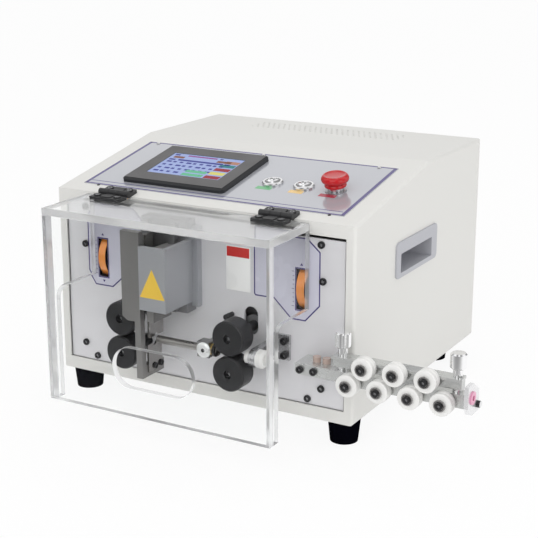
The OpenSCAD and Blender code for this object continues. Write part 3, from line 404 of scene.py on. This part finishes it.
bright_steel = finish("bright_steel", (0.72, 0.72, 0.73), 0.16, metal=1.0, patch=120, grain=900,
                      bump=0.03)
dome = [(0, 0), (2.6, 0), (2.5, 0.7), (1.9, 1.3), (0.9, 1.6), (0, 1.65)]
bm = bmesh.new()
for x in (40, 196, 352.4):
    turned(bm, dome, slope_point(x, screw_s, film_n), slope_up, 20)
piece("overlay_screws", bm, [bright_steel], "frame")
pin = [(0, 0), (1.9, 0), (1.9, 0.5), (1.3, 0.9), (0, 1)]
bm = bmesh.new()
for x in (47.3, 357.8):
    turned(bm, pin, slope_point(x, pin_s, pin_n), slope_up, 20)
piece("overlay_pins", bm, [black_screw], "frame")

# Touch screen: a moulded dark frame clamped through the slope, with a flat glass in it.
# The picture on the glass is made of plain blocks: title row, bars, value fields and keys.
rim_mould = finish("rim_mould", (0.018, 0.019, 0.022), 0.42, mottle=0.15, patch=40, grain=1500,
                   bump=0.12)
wear(rim_mould, "hmi_housing")
dark_mould = finish("dark_mould", (0.088, 0.086, 0.088), 0.46, mottle=0.06, patch=25, grain=1500,
                    bump=0.12)
hmi_x, hmi_s, face_low, face_high = 141, 93, 6.55, 6.72
face_w, face_d, view_w, view_d = 68.5, 53.5, 50.6, 32.6
in_screen = in_slope @ Matrix.Translation((hmi_x, hmi_s, 0))
bm = bmesh.new()
for low, high in (((-face_w, -face_d), (-view_w, face_d)), ((view_w, -face_d), (face_w, face_d)),
                  ((-view_w, -face_d), (view_w, -view_d)), ((-view_w, view_d), (view_w, face_d))):
    block(bm, in_screen, (*low, face_low), (*high, face_high))
piece("screen_face", bm, [dark_mould], "frame")


def backlit(name, colour, glow):
    """A lit area of the display under its glass."""
    mat = finish(name, colour, 0.3, mottle=0.06, patch=90, grain=2500, bump=0.01, spread=0.03,
                 shine=0.1)
    skin = mat.node_tree.nodes["Principled BSDF"]
    skin.inputs["Emission Color"].default_value = (*colour, 1)
    skin.inputs["Emission Strength"].default_value = glow
    return mat


wear(backlit("screen_blue", (0.25, 0.31, 0.53), 0.3), "hmi_screen")
screen_inks = [backlit("ink_navy", (0.02, 0.025, 0.2), 0.3),
               backlit("ink_brown", (0.16, 0.06, 0.04), 0.3),
               backlit("ink_wine", (0.21, 0.008, 0.02), 0.4),
               backlit("ink_orange", (0.32, 0.15, 0.1), 0.3),
               backlit("ink_teal", (0.01, 0.14, 0.15), 0.35),
               backlit("ink_yellow", (0.5, 0.46, 0.12), 0.3),
               backlit("ink_green", (0.09, 0.36, 0.2), 0.3),
               backlit("ink_plum", (0.2, 0.04, 0.2), 0.3)]
navy, brown, wine, orange_key, teal, yellow_key, green_key, plum = range(8)
blocks = [(-47, 26, -40, 30, navy), (-28, 26, 14, 29.5, plum), (18, 26, 22, 29.5, navy),
          (-45, 18, -30, 24, brown), (18, 17, 38, 23, brown), (-47, 11, -38, 15, navy),
          (-34, 11, 30, 15.5, navy), (32, 11, 40, 15, navy)]
field_x, field_step, field_h = -46, 9.5, 4.2
for row, (y, count) in enumerate(((4, 9), (-6, 8), (-16, 8), (-26, 4))):
    for k in range(count):
        x, wide = field_x + k * field_step, 4.5 if (k + row) % 3 else 7
        blocks.append((x, y, x + wide, y + field_h, navy))
blocks.append((30, 16, 49, 24.5, orange_key))
for y, ink in ((7, teal), (-5, wine), (-17, yellow_key), (-29, wine)):
    blocks.append((28, y - 2, 49, y + 6.5, ink))
blocks += [(-4, -20, 25, -13, green_key), (-4, -30, 25, -23, green_key)]
ink_low, ink_high, key_rise = 6.28, 6.33, 0.01
bm = bmesh.new()
for x0, y0, x1, y1, ink in blocks:
    top = ink_high + key_rise * (ink == green_key)
    block(bm, in_screen, (x0, y0, ink_low), (x1, y1, top), mat=ink)
piece("screen_picture", bm, screen_inks, "frame")

# Push buttons: turned and polished brass under chrome, dished tops in raised rings.
# They are fixed by nuts behind the slope.
button_chrome = finish("button_chrome", (0.8, 0.8, 0.81), 0.06, metal=1.0, mottle=0.03, patch=150,
                       grain=1200, bump=0.01, spread=0.02)
wear(button_chrome, "button_bezels", "start_button", "stop_button")

# Emergency stop: a mushroom head of glossy red plastic on a bright plunger, in a thin satin collar.
# The head has a rounded rim and a shallow dish on top. It turns to release.
wear(button_chrome, "estop_plunger")
collar_satin = finish("collar_satin", (0.4, 0.4, 0.42), 0.3, metal=0.7, patch=120, bump=0.03)
wear(collar_satin, "estop_collar")
stop_red = finish("stop_red", (0.5, 0.012, 0.016), 0.09, mottle=0.06, patch=60, grain=900,
                  bump=0.02, spread=0.03, coat=0.2, shine=0.45)
estop_x, estop_s = 334, 84
head_profile = [(0, 14.3), (5.2, 14.3), (5.2, 9.3), (9.2, 9.3), (9.2, 5.8), (11.2, 5.8),
                (12.3, 6.3), (12.8, 7.3), (12.7, 8.4), (12.2, 9.3), (11.9, 9.9), (12.3, 10.5),
                (13.8, 11.4), (15.2, 12.6), (16.0, 14.1), (16.2, 15.7), (15.9, 17.2),
                (15.2, 18.6), (14.2, 19.7), (13.1, 20.3), (12.2, 20.4), (11.5, 20.1),
                (10.4, 19.6), (8, 19.3), (4, 19.1), (0, 19.0)]
bm = bmesh.new()
turned(bm, head_profile, slope_point(estop_x, estop_s, 0), slope_up, 56)
head = piece("estop_mushroom", bm, [stop_red], "estop_twist", soft=50)
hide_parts("estop_head")

# Carrying handles: moulded cups of grey plastic set into the side walls, held by their rims.
# The mould leaves a fine grain.
handle_grey = finish("handle_grey", (0.46, 0.465, 0.5), 0.5, mottle=0.04, patch=30, grain=1600,
                     bump=0.2)
wear(handle_grey, "side_handles")

# Setting wheels: dark wheels with a bright orange rim, behind slots in printed plates.
# The plates have cut corners, a violet outline and a scale of ticks, and are glued on the front
# plate. Dark strips line the slot walls as painted shade inside the slots.
def second_tone(mat, colour, value, limit):
    """Gives a surface another colour where a measured value lies below a limit."""
    tree = mat.node_tree
    base = tree.nodes["Principled BSDF"].inputs["Base Color"]
    tone = tree.nodes.new("ShaderNodeMix")
    tone.data_type = "RGBA"
    tree.links.new(maths(tree, "LESS_THAN", value, limit), tone.inputs["Factor"])
    tree.links.new(base.links[0].from_socket, tone.inputs["A"])
    tone.inputs["B"].default_value = (*colour, 1)
    tree.links.new(tone.outputs["Result"], base)


def thicken(bm, faces, depth):
    """Makes flat faces a closed sheet, depth millimetres thick towards the back."""
    grown = bmesh.ops.extrude_face_region(bm, geom=faces, use_keep_orig=True)["geom"]
    bmesh.ops.translate(bm, vec=(0, depth / 1000, 0),
                        verts=[g for g in grown if isinstance(g, bmesh.types.BMVert)])


def flat_face(bm, corners, y):
    """Adds a face with (x, z) corners on an upright plane across the machine."""
    return bm.faces.new([bm.verts.new(at(x, y, z)) for x, z in corners])


def outline(bm, corners, y, width, depth):
    """Adds a printed line of the given width along the inside of an outline."""
    old = set(bm.verts)
    face = flat_face(bm, corners, y)
    face.normal_update()
    bmesh.ops.inset_region(bm, faces=[face], thickness=width / 1000, use_boundary=True,
                           use_even_offset=True)
    bmesh.ops.delete(bm, geom=[face], context="FACES_ONLY")
    thicken(bm, fresh(bm.faces, old), depth)


rightward, upward = (1, 0, 0), (0, 0, 1)
wheel_y, wheel_z, wheel_r, rim_t = 28.5, 148, 29.5, 0.7
rim_orange = finish("rim_orange", (1.0, 0.34, 0.07), 0.22, metal=0.1, mottle=0.06, patch=40,
                    grain=1200, coat=0.4)
tree = rim_orange.node_tree
hub = at(0, wheel_y, wheel_z)
from_axle = tree.nodes.new("ShaderNodeMapping")
from_axle.inputs["Location"].default_value = (0, -hub.y, -hub.z)
from_axle.inputs["Scale"].default_value = (0, 1, 1)
spot = tree.nodes.new("ShaderNodeTexCoord")
tree.links.new(spot.outputs["Object"], from_axle.inputs["Vector"])
reach = tree.nodes.new("ShaderNodeVectorMath")
reach.operation = "LENGTH"
tree.links.new(from_axle.outputs["Vector"], reach.inputs[0])
second_tone(rim_orange, (0.03, 0.022, 0.032), reach.outputs["Value"], (wheel_r - rim_t) / 1000)
wear(rim_orange, "thumbwheel_left", "thumbwheel_right")

scale_film = finish("scale_film", (0.64, 0.637, 0.735), 0.25, mottle=0.03, patch=20, bump=0.02,
                    coat=0.3)
film_front, print_y, print_t = 2.6, 2.52, 0.12
slot_w, slot_h, shade_strip_t, shade_strip_back = 6.5, 23.5, 0.35, 6
left_film = (64.6, [(-24, 46), (-11, 59.5), (44, 59.5), (57, 47), (57, -13), (55, -15), (35, -15),
                    (13, -35), (-12.5, -35), (-24, -18)])
right_film = (330.5, [(-57, 57.5), (-55, 59.5), (10, 59.5), (26, 45.5), (26, -16), (8, -36),
                      (-13, -36), (-35, -15), (-55, -15), (-57, -13)])
films = [(x, [(x + a, wheel_z + b) for a, b in corners]) for x, corners in (left_film, right_film)]
slot_low, slot_high = wheel_z - slot_h, wheel_z + slot_h
bm = bmesh.new()
for x, corners in films:
    old = set(bm.verts)
    bmesh.ops.triangulate(bm, faces=[flat_face(bm, corners, film_front)])
    low, high = at(x - slot_w, film_front, slot_low), at(x + slot_w, film_front, slot_high)
    for cut, way in ((low, rightward), (high, rightward), (low, upward), (high, upward)):
        corner_points = [v for v in bm.verts if v not in old]
        bmesh.ops.bisect_plane(bm, geom=corner_points + fresh(bm.edges, old) + fresh(bm.faces, old),
                               plane_co=cut, plane_no=way)
    middles = [(f, f.calc_center_median()) for f in bm.faces]
    gone = [f for f, c in middles if low.x < c.x < high.x and low.z < c.z < high.z]
    bmesh.ops.delete(bm, geom=gone, context="FACES")
thicken(bm, bm.faces[:], plate_front - film_front)
scale_films = piece("scale_films", bm, [scale_film], "frame")
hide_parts("adjuster_plates")

# Painted shade: dark strips on the slot walls stand in for the shade inside the slots.
painted_slot_shade = finish("painted_slot_shade", (0.02, 0.016, 0.03), 0.5, mottle=0.15, patch=60, bump=0.1)
bm = bmesh.new()
for x, _ in films:
    left, right = x - slot_w, x + slot_w
    for x0, z0, x1, z1 in ((left, slot_low, left + shade_strip_t, slot_high),
                           (right - shade_strip_t, slot_low, right, slot_high),
                           (left + shade_strip_t, slot_low, right - shade_strip_t, slot_low + shade_strip_t),
                           (left + shade_strip_t, slot_high - shade_strip_t, right - shade_strip_t, slot_high)):
        block(bm, in_housing, (x0, print_y, z0), (x1, shade_strip_back, z1))
piece("painted_slot_shade_strips", bm, [painted_slot_shade], "frame")

edge_line, slot_line, line_w, line_h = 1.5, 1.3, 8, 25
tick_x, tick_low, tick_step, tick_half, tick_count = -9.2, -20, 5, 0.25, 9
tick_front, tick_back, long_tick, short_tick, long_every = 2.5, 2.62, 3.2, 1.8, 4
tip_far, tip_near, tip_half = 30.5, 27.5, 1.9
bm = bmesh.new()
for x, corners in films:
    outline(bm, corners, print_y, edge_line, print_t)
    outline(bm, [(x - line_w, wheel_z - line_h), (x + line_w, wheel_z - line_h),
                 (x + line_w, wheel_z + line_h), (x - line_w, wheel_z + line_h)],
            print_y, slot_line, print_t)
    for k in range(tick_count):
        long = short_tick if k % long_every else long_tick
        z = wheel_z + tick_low + k * tick_step
        block(bm, in_housing, (x + tick_x - long, tick_front, z - tick_half),
              (x + tick_x, tick_back, z + tick_half))
    for way in (-1, 1):
        far, near = wheel_z + way * tip_far, wheel_z + way * tip_near
        tip = [(x, far), (x - tip_half, near), (x + tip_half, near)]
        thicken(bm, [flat_face(bm, tip, print_y)], print_t)
piece("scale_print", bm, [violet_print], "frame")

# Hinges: moulded black leaves with a steel pin, one pair on the slope and one on the cover.
# Each leaf is held by two dark screws sunk in raised seats.
hinge_black = finish("hinge_black", (0.03, 0.03, 0.032), 0.46, mottle=0.15, patch=60, grain=1500,
                     bump=0.2)
wear(hinge_black, "hinge_fixed_leaves", "hinge_cover_leaves")
seat_steel = finish("seat_steel", (0.22, 0.22, 0.23), 0.25, metal=0.9, mottle=0.1, patch=150)
sunk_head = [(0, 0), (2.1, 0), (3.1, 0.7), (2.7, 1.0), (1.3, 1.0), (1.1, 0.4), (0, 0.4)]
hinge_x, seat_side, leaf_s, leaf_n = (88, 305), 13.86, 7.6, 4.01
cover_leaf_y, cover_leaf_z = -18, 230.01
seats = [x + side for x in hinge_x for side in (-seat_side, seat_side)]
bm = bmesh.new()
for x in seats:
    turned(bm, sunk_head, slope_point(x, leaf_s, leaf_n), slope_up, 20)
piece("slope_hinge_screws", bm, [seat_steel], "frame")
bm = bmesh.new()
for x in seats:
    turned(bm, sunk_head, (x, cover_leaf_y, cover_leaf_z), upward, 20)
piece("cover_hinge_screws", bm, [seat_steel], "cover")

# Safety cover: four sheets of 8 mm clear acrylic, sawn to size and glued at their edges.
# The faces are polished and clear, the flamed edges a little duller. The top sheet reflects more.
def see_through(mat, share, index):
    """Lets a share of the light through a surface, bent by its index."""
    skin = mat.node_tree.nodes["Principled BSDF"]
    skin.inputs["Transmission Weight"].default_value = share
    skin.inputs["IOR"].default_value = index
    return mat


acrylic = see_through(finish("acrylic", (0.985, 0.99, 0.988), 0.02, mottle=0.004, patch=12, bump=0,
                             spread=0.01, shine=0.25), 1.0, 1.13)
top_acrylic = see_through(finish("top_acrylic", (0.985, 0.99, 0.988), 0.05, mottle=0.004, patch=12,
                                 bump=0, spread=0.02), 0.95, 1.42)
flamed_edge = see_through(finish("flamed_edge", (0.96, 0.965, 0.98), 0.2, mottle=0.06, patch=90,
                                 grain=500, bump=0.1), 0.6, 1.25)


def sheet(bm, loops, flat, thick, clear=0):
    """Adds a sheet: a face inside the first loop of corners, made thick along flat.

    A second loop is a hole in it. The faces take the clear material, the edges the flamed one.
    """
    old = set(bm.verts)
    rings = []
    for loop in loops:
        ring = [bm.verts.new(at(*corner)) for corner in loop]
        rings.append([bm.edges.new(pair) for pair in zip(ring, ring[1:] + ring[:1])])
    if len(rings) == 1:
        faces = bmesh.ops.contextual_create(bm, geom=rings[0])["faces"]
    else:
        faces = bmesh.ops.bridge_loops(bm, edges=rings[0] + rings[1])["faces"]
    grown = bmesh.ops.extrude_face_region(bm, geom=faces)["geom"]
    bmesh.ops.translate(bm, vec=Vector(flat) * (thick / 1000),
                        verts=[g for g in grown if isinstance(g, bmesh.types.BMVert)])
    made = fresh(bm.faces, old)
    bmesh.ops.recalc_face_normals(bm, faces=made)
    for f in made:
        f.material_index = clear if abs(f.normal.dot(Vector(flat))) > 0.9 else 1


cover_left, cover_right, cover_front, cover_back = 48, 345, -89, -1.5
cover_low, cover_top, cover_t, joint_gap, edge_round = -4, 226, 8, 0.03, 0.4
hole_x, hole_z, hole_half, hole_r, hole_steps = 193.5, 54, 29.5, 24, 24
notch_y, notch_z, notch_r, notch_steps = -58, 116, 12, 8
top_low = cover_top - cover_t
under, inner = top_low - joint_gap, cover_front + cover_t + joint_gap
rim = []
for side, start in ((-1, math.pi / 2), (1, -math.pi / 2)):
    for k in range(hole_steps + 1):
        turn = start + math.pi * k / hole_steps
        rim.append((hole_x + side * hole_half + hole_r * math.cos(turn), cover_front,
                    hole_z + hole_r * math.sin(turn)))
bm = bmesh.new()
sheet(bm, [[(cover_left, cover_front, under), (cover_right, cover_front, under),
            (cover_right, cover_front, cover_low), (cover_left, cover_front, cover_low)], rim],
      (0, 1, 0), cover_t)
sheet(bm, [[(cover_left, cover_front, top_low), (cover_right, cover_front, top_low),
            (cover_right, cover_back, top_low), (cover_left, cover_back, top_low)]],
      upward, cover_t, clear=2)
notch = []
for k in range(notch_steps + 1):
    turn = math.pi - k * math.pi / 2 / notch_steps
    notch.append((notch_y + notch_r * math.cos(turn), notch_z + notch_r * math.sin(turn)))
wall = [(inner, cover_low), (notch_y - notch_r, cover_low), *notch,
        (cover_back, notch_z + notch_r), (cover_back, under), (inner, under)]
for x in (cover_left, cover_right - cover_t):
    sheet(bm, [[(x, y, z) for y, z in wall]], rightward, cover_t)
edges = [e for e in bm.edges if e.is_manifold and e.calc_face_angle() > 1.0]
bmesh.ops.bevel(bm, geom=edges, offset=edge_round / 1000, segments=2, profile=0.5,
                affect="EDGES", material=1)
cover = piece("clear_cover", bm, [acrylic, flamed_edge, top_acrylic], "cover", soft=3)
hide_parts("safety_cover")

# Cutter: ground steel base with two rails, slides with racks, and a guard of folded grey sheet.
# The lower slide is the tall grey plate with the leg. A blank yellow triangle is stuck on the
# guard.
ground_steel = finish("ground_steel", (0.33, 0.33, 0.34), 0.36, metal=0.85, mottle=0.07,
                      patch=(60, 60, 10), grain=800, bump=0.06, grain_stretch=(1, 1, 0.08))
wear(ground_steel, "cutter_base")
slide_steel = finish("slide_steel", (0.25, 0.245, 0.24), 0.4, metal=0.45, mottle=0.08,
                     patch=(70, 70, 12), grain=700, bump=0.07, grain_stretch=(1, 1, 0.1))
wear(slide_steel, "lower_slide", "upper_slide")
motor_black = finish("motor_black", (0.06, 0.06, 0.065), 0.42, metal=0.6, mottle=0.12,
                     patch=(60, 60, 20), bump=0.08)
wear(motor_black, "drive_motors")
guard_sheet = finish("guard_sheet", (0.45, 0.46, 0.485), 0.34, metal=0.4, mottle=0.06,
                     patch=(30, 30, 8), grain=600, grain_stretch=(1, 1, 0.1))
wear(guard_sheet, "cutter_guard")
blade_steel = finish("blade_steel", (0.36, 0.35, 0.34), 0.22, metal=1.0, mottle=0.08, patch=80,
                     grain=900, grain_stretch=(1, 0.1, 1))
wear(blade_steel, "lower_blade", "upper_blade")
pinion_steel = finish("pinion_steel", (0.4, 0.37, 0.3), 0.34, metal=1.0, mottle=0.1, patch=120,
                      bump=0.06)
wear(pinion_steel, "cutter_pinion")
sign_yellow = finish("sign_yellow", (0.93, 0.62, 0.08), 0.34, patch=40, bump=0.03)
guard_front, sign_round, sign_t = -62.02, 1.2, 0.2
bm = bmesh.new()
face = flat_face(bm, ((179.3, 165.5), (162.3, 131.3), (196.2, 131.3)), guard_front)
bmesh.ops.bevel(bm, geom=list(face.verts), offset=sign_round / 1000, segments=3, profile=0.5,
                affect="VERTICES", material=-1)
bmesh.ops.solidify(bm, geom=bm.faces[:], thickness=sign_t / 1000)
piece("blank_triangle", bm, [sign_yellow], "frame")
blade_head, blade_x, blade_y, blade_z = (3.8, 2.0, 3.4), 163.2, (-37.5, -25.9), 41.5
bm = bmesh.new()
for y in blade_y:
    socket_screw(bm, (blade_x, y, blade_z), rightward, blade_head)
piece("blade_screws", bm, screw_mats, "lower_cutter")

# Feed rollers: black rubber on steel shafts, each held by a screw sunk in its front.
# The upper two sit on lifting arms behind the plate.
roller_rubber = finish("roller_rubber", (0.026, 0.026, 0.028), 0.42, mottle=0.12, patch=60,
                       grain=900, bump=0.2, shine=0.3)
wear(roller_rubber, "roller_left_lower", "roller_left_upper", "roller_right_lower",
     "roller_right_upper")
left_x, right_x, lower_z, upper_z, sunk_y = 124, 269.5, 53.75, 95.25, -43.95
roller_head = (4.2, 3.6, 4.0)
for name, x, z in (("ll", left_x, lower_z), ("lu", left_x, upper_z), ("rl", right_x, lower_z),
                   ("ru", right_x, upper_z)):
    bm = bmesh.new()
    socket_screw(bm, (x, sunk_y, z), ahead, roller_head)
    piece("roller_screw_" + name, bm, screw_mats, "feed_" + name)
arm_steel = finish("arm_steel", (0.36, 0.36, 0.37), 0.4, metal=0.9, mottle=0.08, patch=50,
                   bump=0.07)
wear(arm_steel, "arm_left", "arm_right")

# Wire tube: a steel tube clamped in a swinging block, whose bright turned face has a socket.
# A brass nut and a black ring close its inlet end.
tube_steel = finish("tube_steel", (0.3, 0.29, 0.28), 0.3, metal=0.8, mottle=0.08,
                    patch=(10, 80, 80))
wear(tube_steel, "conduit_tube")
block_steel = finish("block_steel", (0.3, 0.3, 0.3), 0.34, metal=0.8, mottle=0.08, patch=70,
                     bump=0.06)
wear(block_steel, "conduit_block")
swing_x, wire_y, wire_z = 234, -36, 74.5
face_y, socket_y, nut_x, ring_x = -42.02, -42.55, 240.9, 244.4
clamp_alu = finish("clamp_alu", (0.8, 0.81, 0.81), 0.3, metal=0.4, patch=70, grain=900, bump=0.06)
clamp_profile = [(2.3, 0), (9.1, 0), (9.1, 1.1), (6.1, 2.6), (2.3, 2.6), (2.3, 0)]
bm = bmesh.new()
turned(bm, clamp_profile, (swing_x, face_y, wire_z), ahead, 40)
piece("clamp_face", bm, [clamp_alu], "conduit")
clamp_head = (2.15, 1.4, 2.4)
ring_profile = [(4.55, 0), (7.5, 0), (7.5, 3.0), (6.9, 3.6), (4.55, 3.6), (4.55, 0)]
bm = bmesh.new()
socket_screw(bm, (swing_x, socket_y, wire_z), ahead, clamp_head)
turned(bm, ring_profile, (ring_x, wire_y, wire_z), rightward)
piece("clamp_screw_and_ring", bm, screw_mats, "conduit")
nut_brass = finish("nut_brass", (0.5, 0.36, 0.14), 0.28, metal=0.9, mottle=0.08, patch=120)
nut_r, nut_h, nut_round = 7.2, 3.4, 0.35
bm = bmesh.new()
bmesh.ops.create_cone(bm, cap_ends=True, segments=6, radius1=nut_r, radius2=nut_r, depth=nut_h,
                      matrix=Matrix.Translation((0, 0, nut_h / 2)))
bmesh.ops.bevel(bm, geom=bm.edges[:], offset=nut_round, segments=2, profile=0.5, affect="EDGES",
                material=-1)
bmesh.ops.transform(bm, matrix=stand((nut_x, wire_y, wire_z), rightward), verts=bm.verts[:])
piece("tube_nut", bm, [nut_brass], "conduit")
solenoid_black = finish("solenoid_black", (0.04, 0.04, 0.045), 0.5, mottle=0.15, patch=50, bump=0.1)
wear(solenoid_black, "conduit_solenoid")

# Wire inlet: a white plastic guide with a funnel in a steel holder, fixed by two black cap screws.
# It leads the wire between the right feed rollers.
holder_steel = finish("holder_steel", (0.5, 0.5, 0.51), 0.24, metal=0.85, mottle=0.08, patch=60,
                      bump=0.06)
wear(holder_steel, "inlet_bracket")
white_nylon = finish("white_nylon", (0.79, 0.785, 0.77), 0.42, mottle=0.03, patch=40, grain=900,
                     bump=0.06)
wear(white_nylon, "inlet_guide")
inlet_head, holder_front = (4.5, 5.6, 4.0), -0.95
bm = bmesh.new()
for x, z in ((315.1, 86.9), (315.2, 69.9)):
    socket_screw(bm, (x, holder_front, z), ahead, inlet_head)
piece("inlet_screws", bm, screw_mats, "frame")

# Straightener: bent and zinc plated bars with seven white nylon rollers on steel axles.
# Two bright knobs set the upper bar. The end plate holds a pink ceramic eyelet, the arm two beige
# posts.
galvanised = finish("galvanised", (0.66, 0.67, 0.66), 0.26, metal=0.75, patch=40, bump=0.03)
wear(galvanised, "straightener_bracket", "straightener_bar")
bright_zinc = finish("bright_zinc", (0.82, 0.82, 0.83), 0.24, metal=0.6, patch=40, bump=0.03)
wear(bright_zinc, "end_plate")
wear(white_nylon, *("sroller_low_%d" % k for k in (1, 2, 3, 4)),
     *("sroller_up_%d" % k for k in (1, 2, 3)))
pitch, axle_y, washer_y = 35.8, -44.05, -43.9
low_x, low_z, up_x, up_z = 411, 64, 428.9, 86
low_axles = [(low_x + k * pitch, low_z) for k in range(4)]
up_axles = [(up_x + k * pitch, up_z) for k in range(3)]
axle_head, bracket_head, end_head = (4.1, 3.2, 3.6), (4.2, 3.4, 3.2), (3.75, 4.5, 3.4)
bracket_front, end_screw = -27.95, (550.45, -22, 65.5)
bm = bmesh.new()
for x, z in low_axles:
    socket_screw(bm, (x, axle_y, z), ahead, axle_head)
for x, z in ((348.6, 67.5), (365.2, 67.8)):
    socket_screw(bm, (x, bracket_front, z), ahead, bracket_head)
socket_screw(bm, end_screw, rightward, end_head)
piece("low_axle_screws", bm, screw_mats, "frame")
bm = bmesh.new()
for x, z in up_axles:
    socket_screw(bm, (x, axle_y, z), ahead, axle_head)
piece("up_axle_screws", bm, screw_mats, "press_bar")
washer_steel = finish("washer_steel", (0.34, 0.33, 0.325), 0.25, metal=0.9, mottle=0.15, patch=150)
washer = [(3.9, 0), (6.7, 0), (6.7, 0.6), (6.2, 1.1), (5.2, 1.1), (4.6, 0.5), (3.9, 0.5), (3.9, 0)]
for name, axles, body in (("low_washers", low_axles, "frame"),
                          ("up_washers", up_axles, "press_bar")):
    bm = bmesh.new()
    for x, z in axles:
        turned(bm, washer, (x, washer_y, z), ahead)
    piece(name, bm, [washer_steel], body)
chrome = finish("chrome", (0.95, 0.95, 0.955), 0.035, metal=1.0, mottle=0.03, patch=150, bump=0,
                spread=0.01)
wear(chrome, "knob_left", "knob_right")
ceramic = finish("ceramic", (0.74, 0.3, 0.46), 0.2, patch=90, bump=0.02, coat=0.4)
tree = ceramic.node_tree
spot = tree.nodes.new("ShaderNodeTexCoord")
split = tree.nodes.new("ShaderNodeSeparateXYZ")
tree.links.new(spot.outputs["Object"], split.inputs["Vector"])
posts_end = at(450, 0, 0).x
second_tone(ceramic, (0.52, 0.4, 0.35), split.outputs["X"], posts_end)
wear(ceramic, "ceramic_eyelets")

# Inside and back: closed power supply, control board, motor wall, fan, mains inlet and rocker.
# They are screwed to the base and to the rear panel.
inner_steel = finish("inner_steel", (0.5, 0.5, 0.51), 0.42, metal=0.8, mottle=0.08, patch=30,
                     bump=0.06)
wear(inner_steel, "motor_bulkhead", "power_supply")
board_green = finish("board_green", (0.02, 0.11, 0.05), 0.4, mottle=0.2, patch=160)
wear(board_green, "control_board")
fan_black = finish("fan_black", (0.022, 0.022, 0.024), 0.45, mottle=0.15, patch=60, grain=1300,
                   bump=0.15)
wear(fan_black, "fan_frame", "fan_rotor", "mains_inlet")
rocker_red = finish("rocker_red", (0.4, 0.02, 0.02), 0.3, mottle=0.08, patch=80)
wear(rocker_red, "power_rocker")
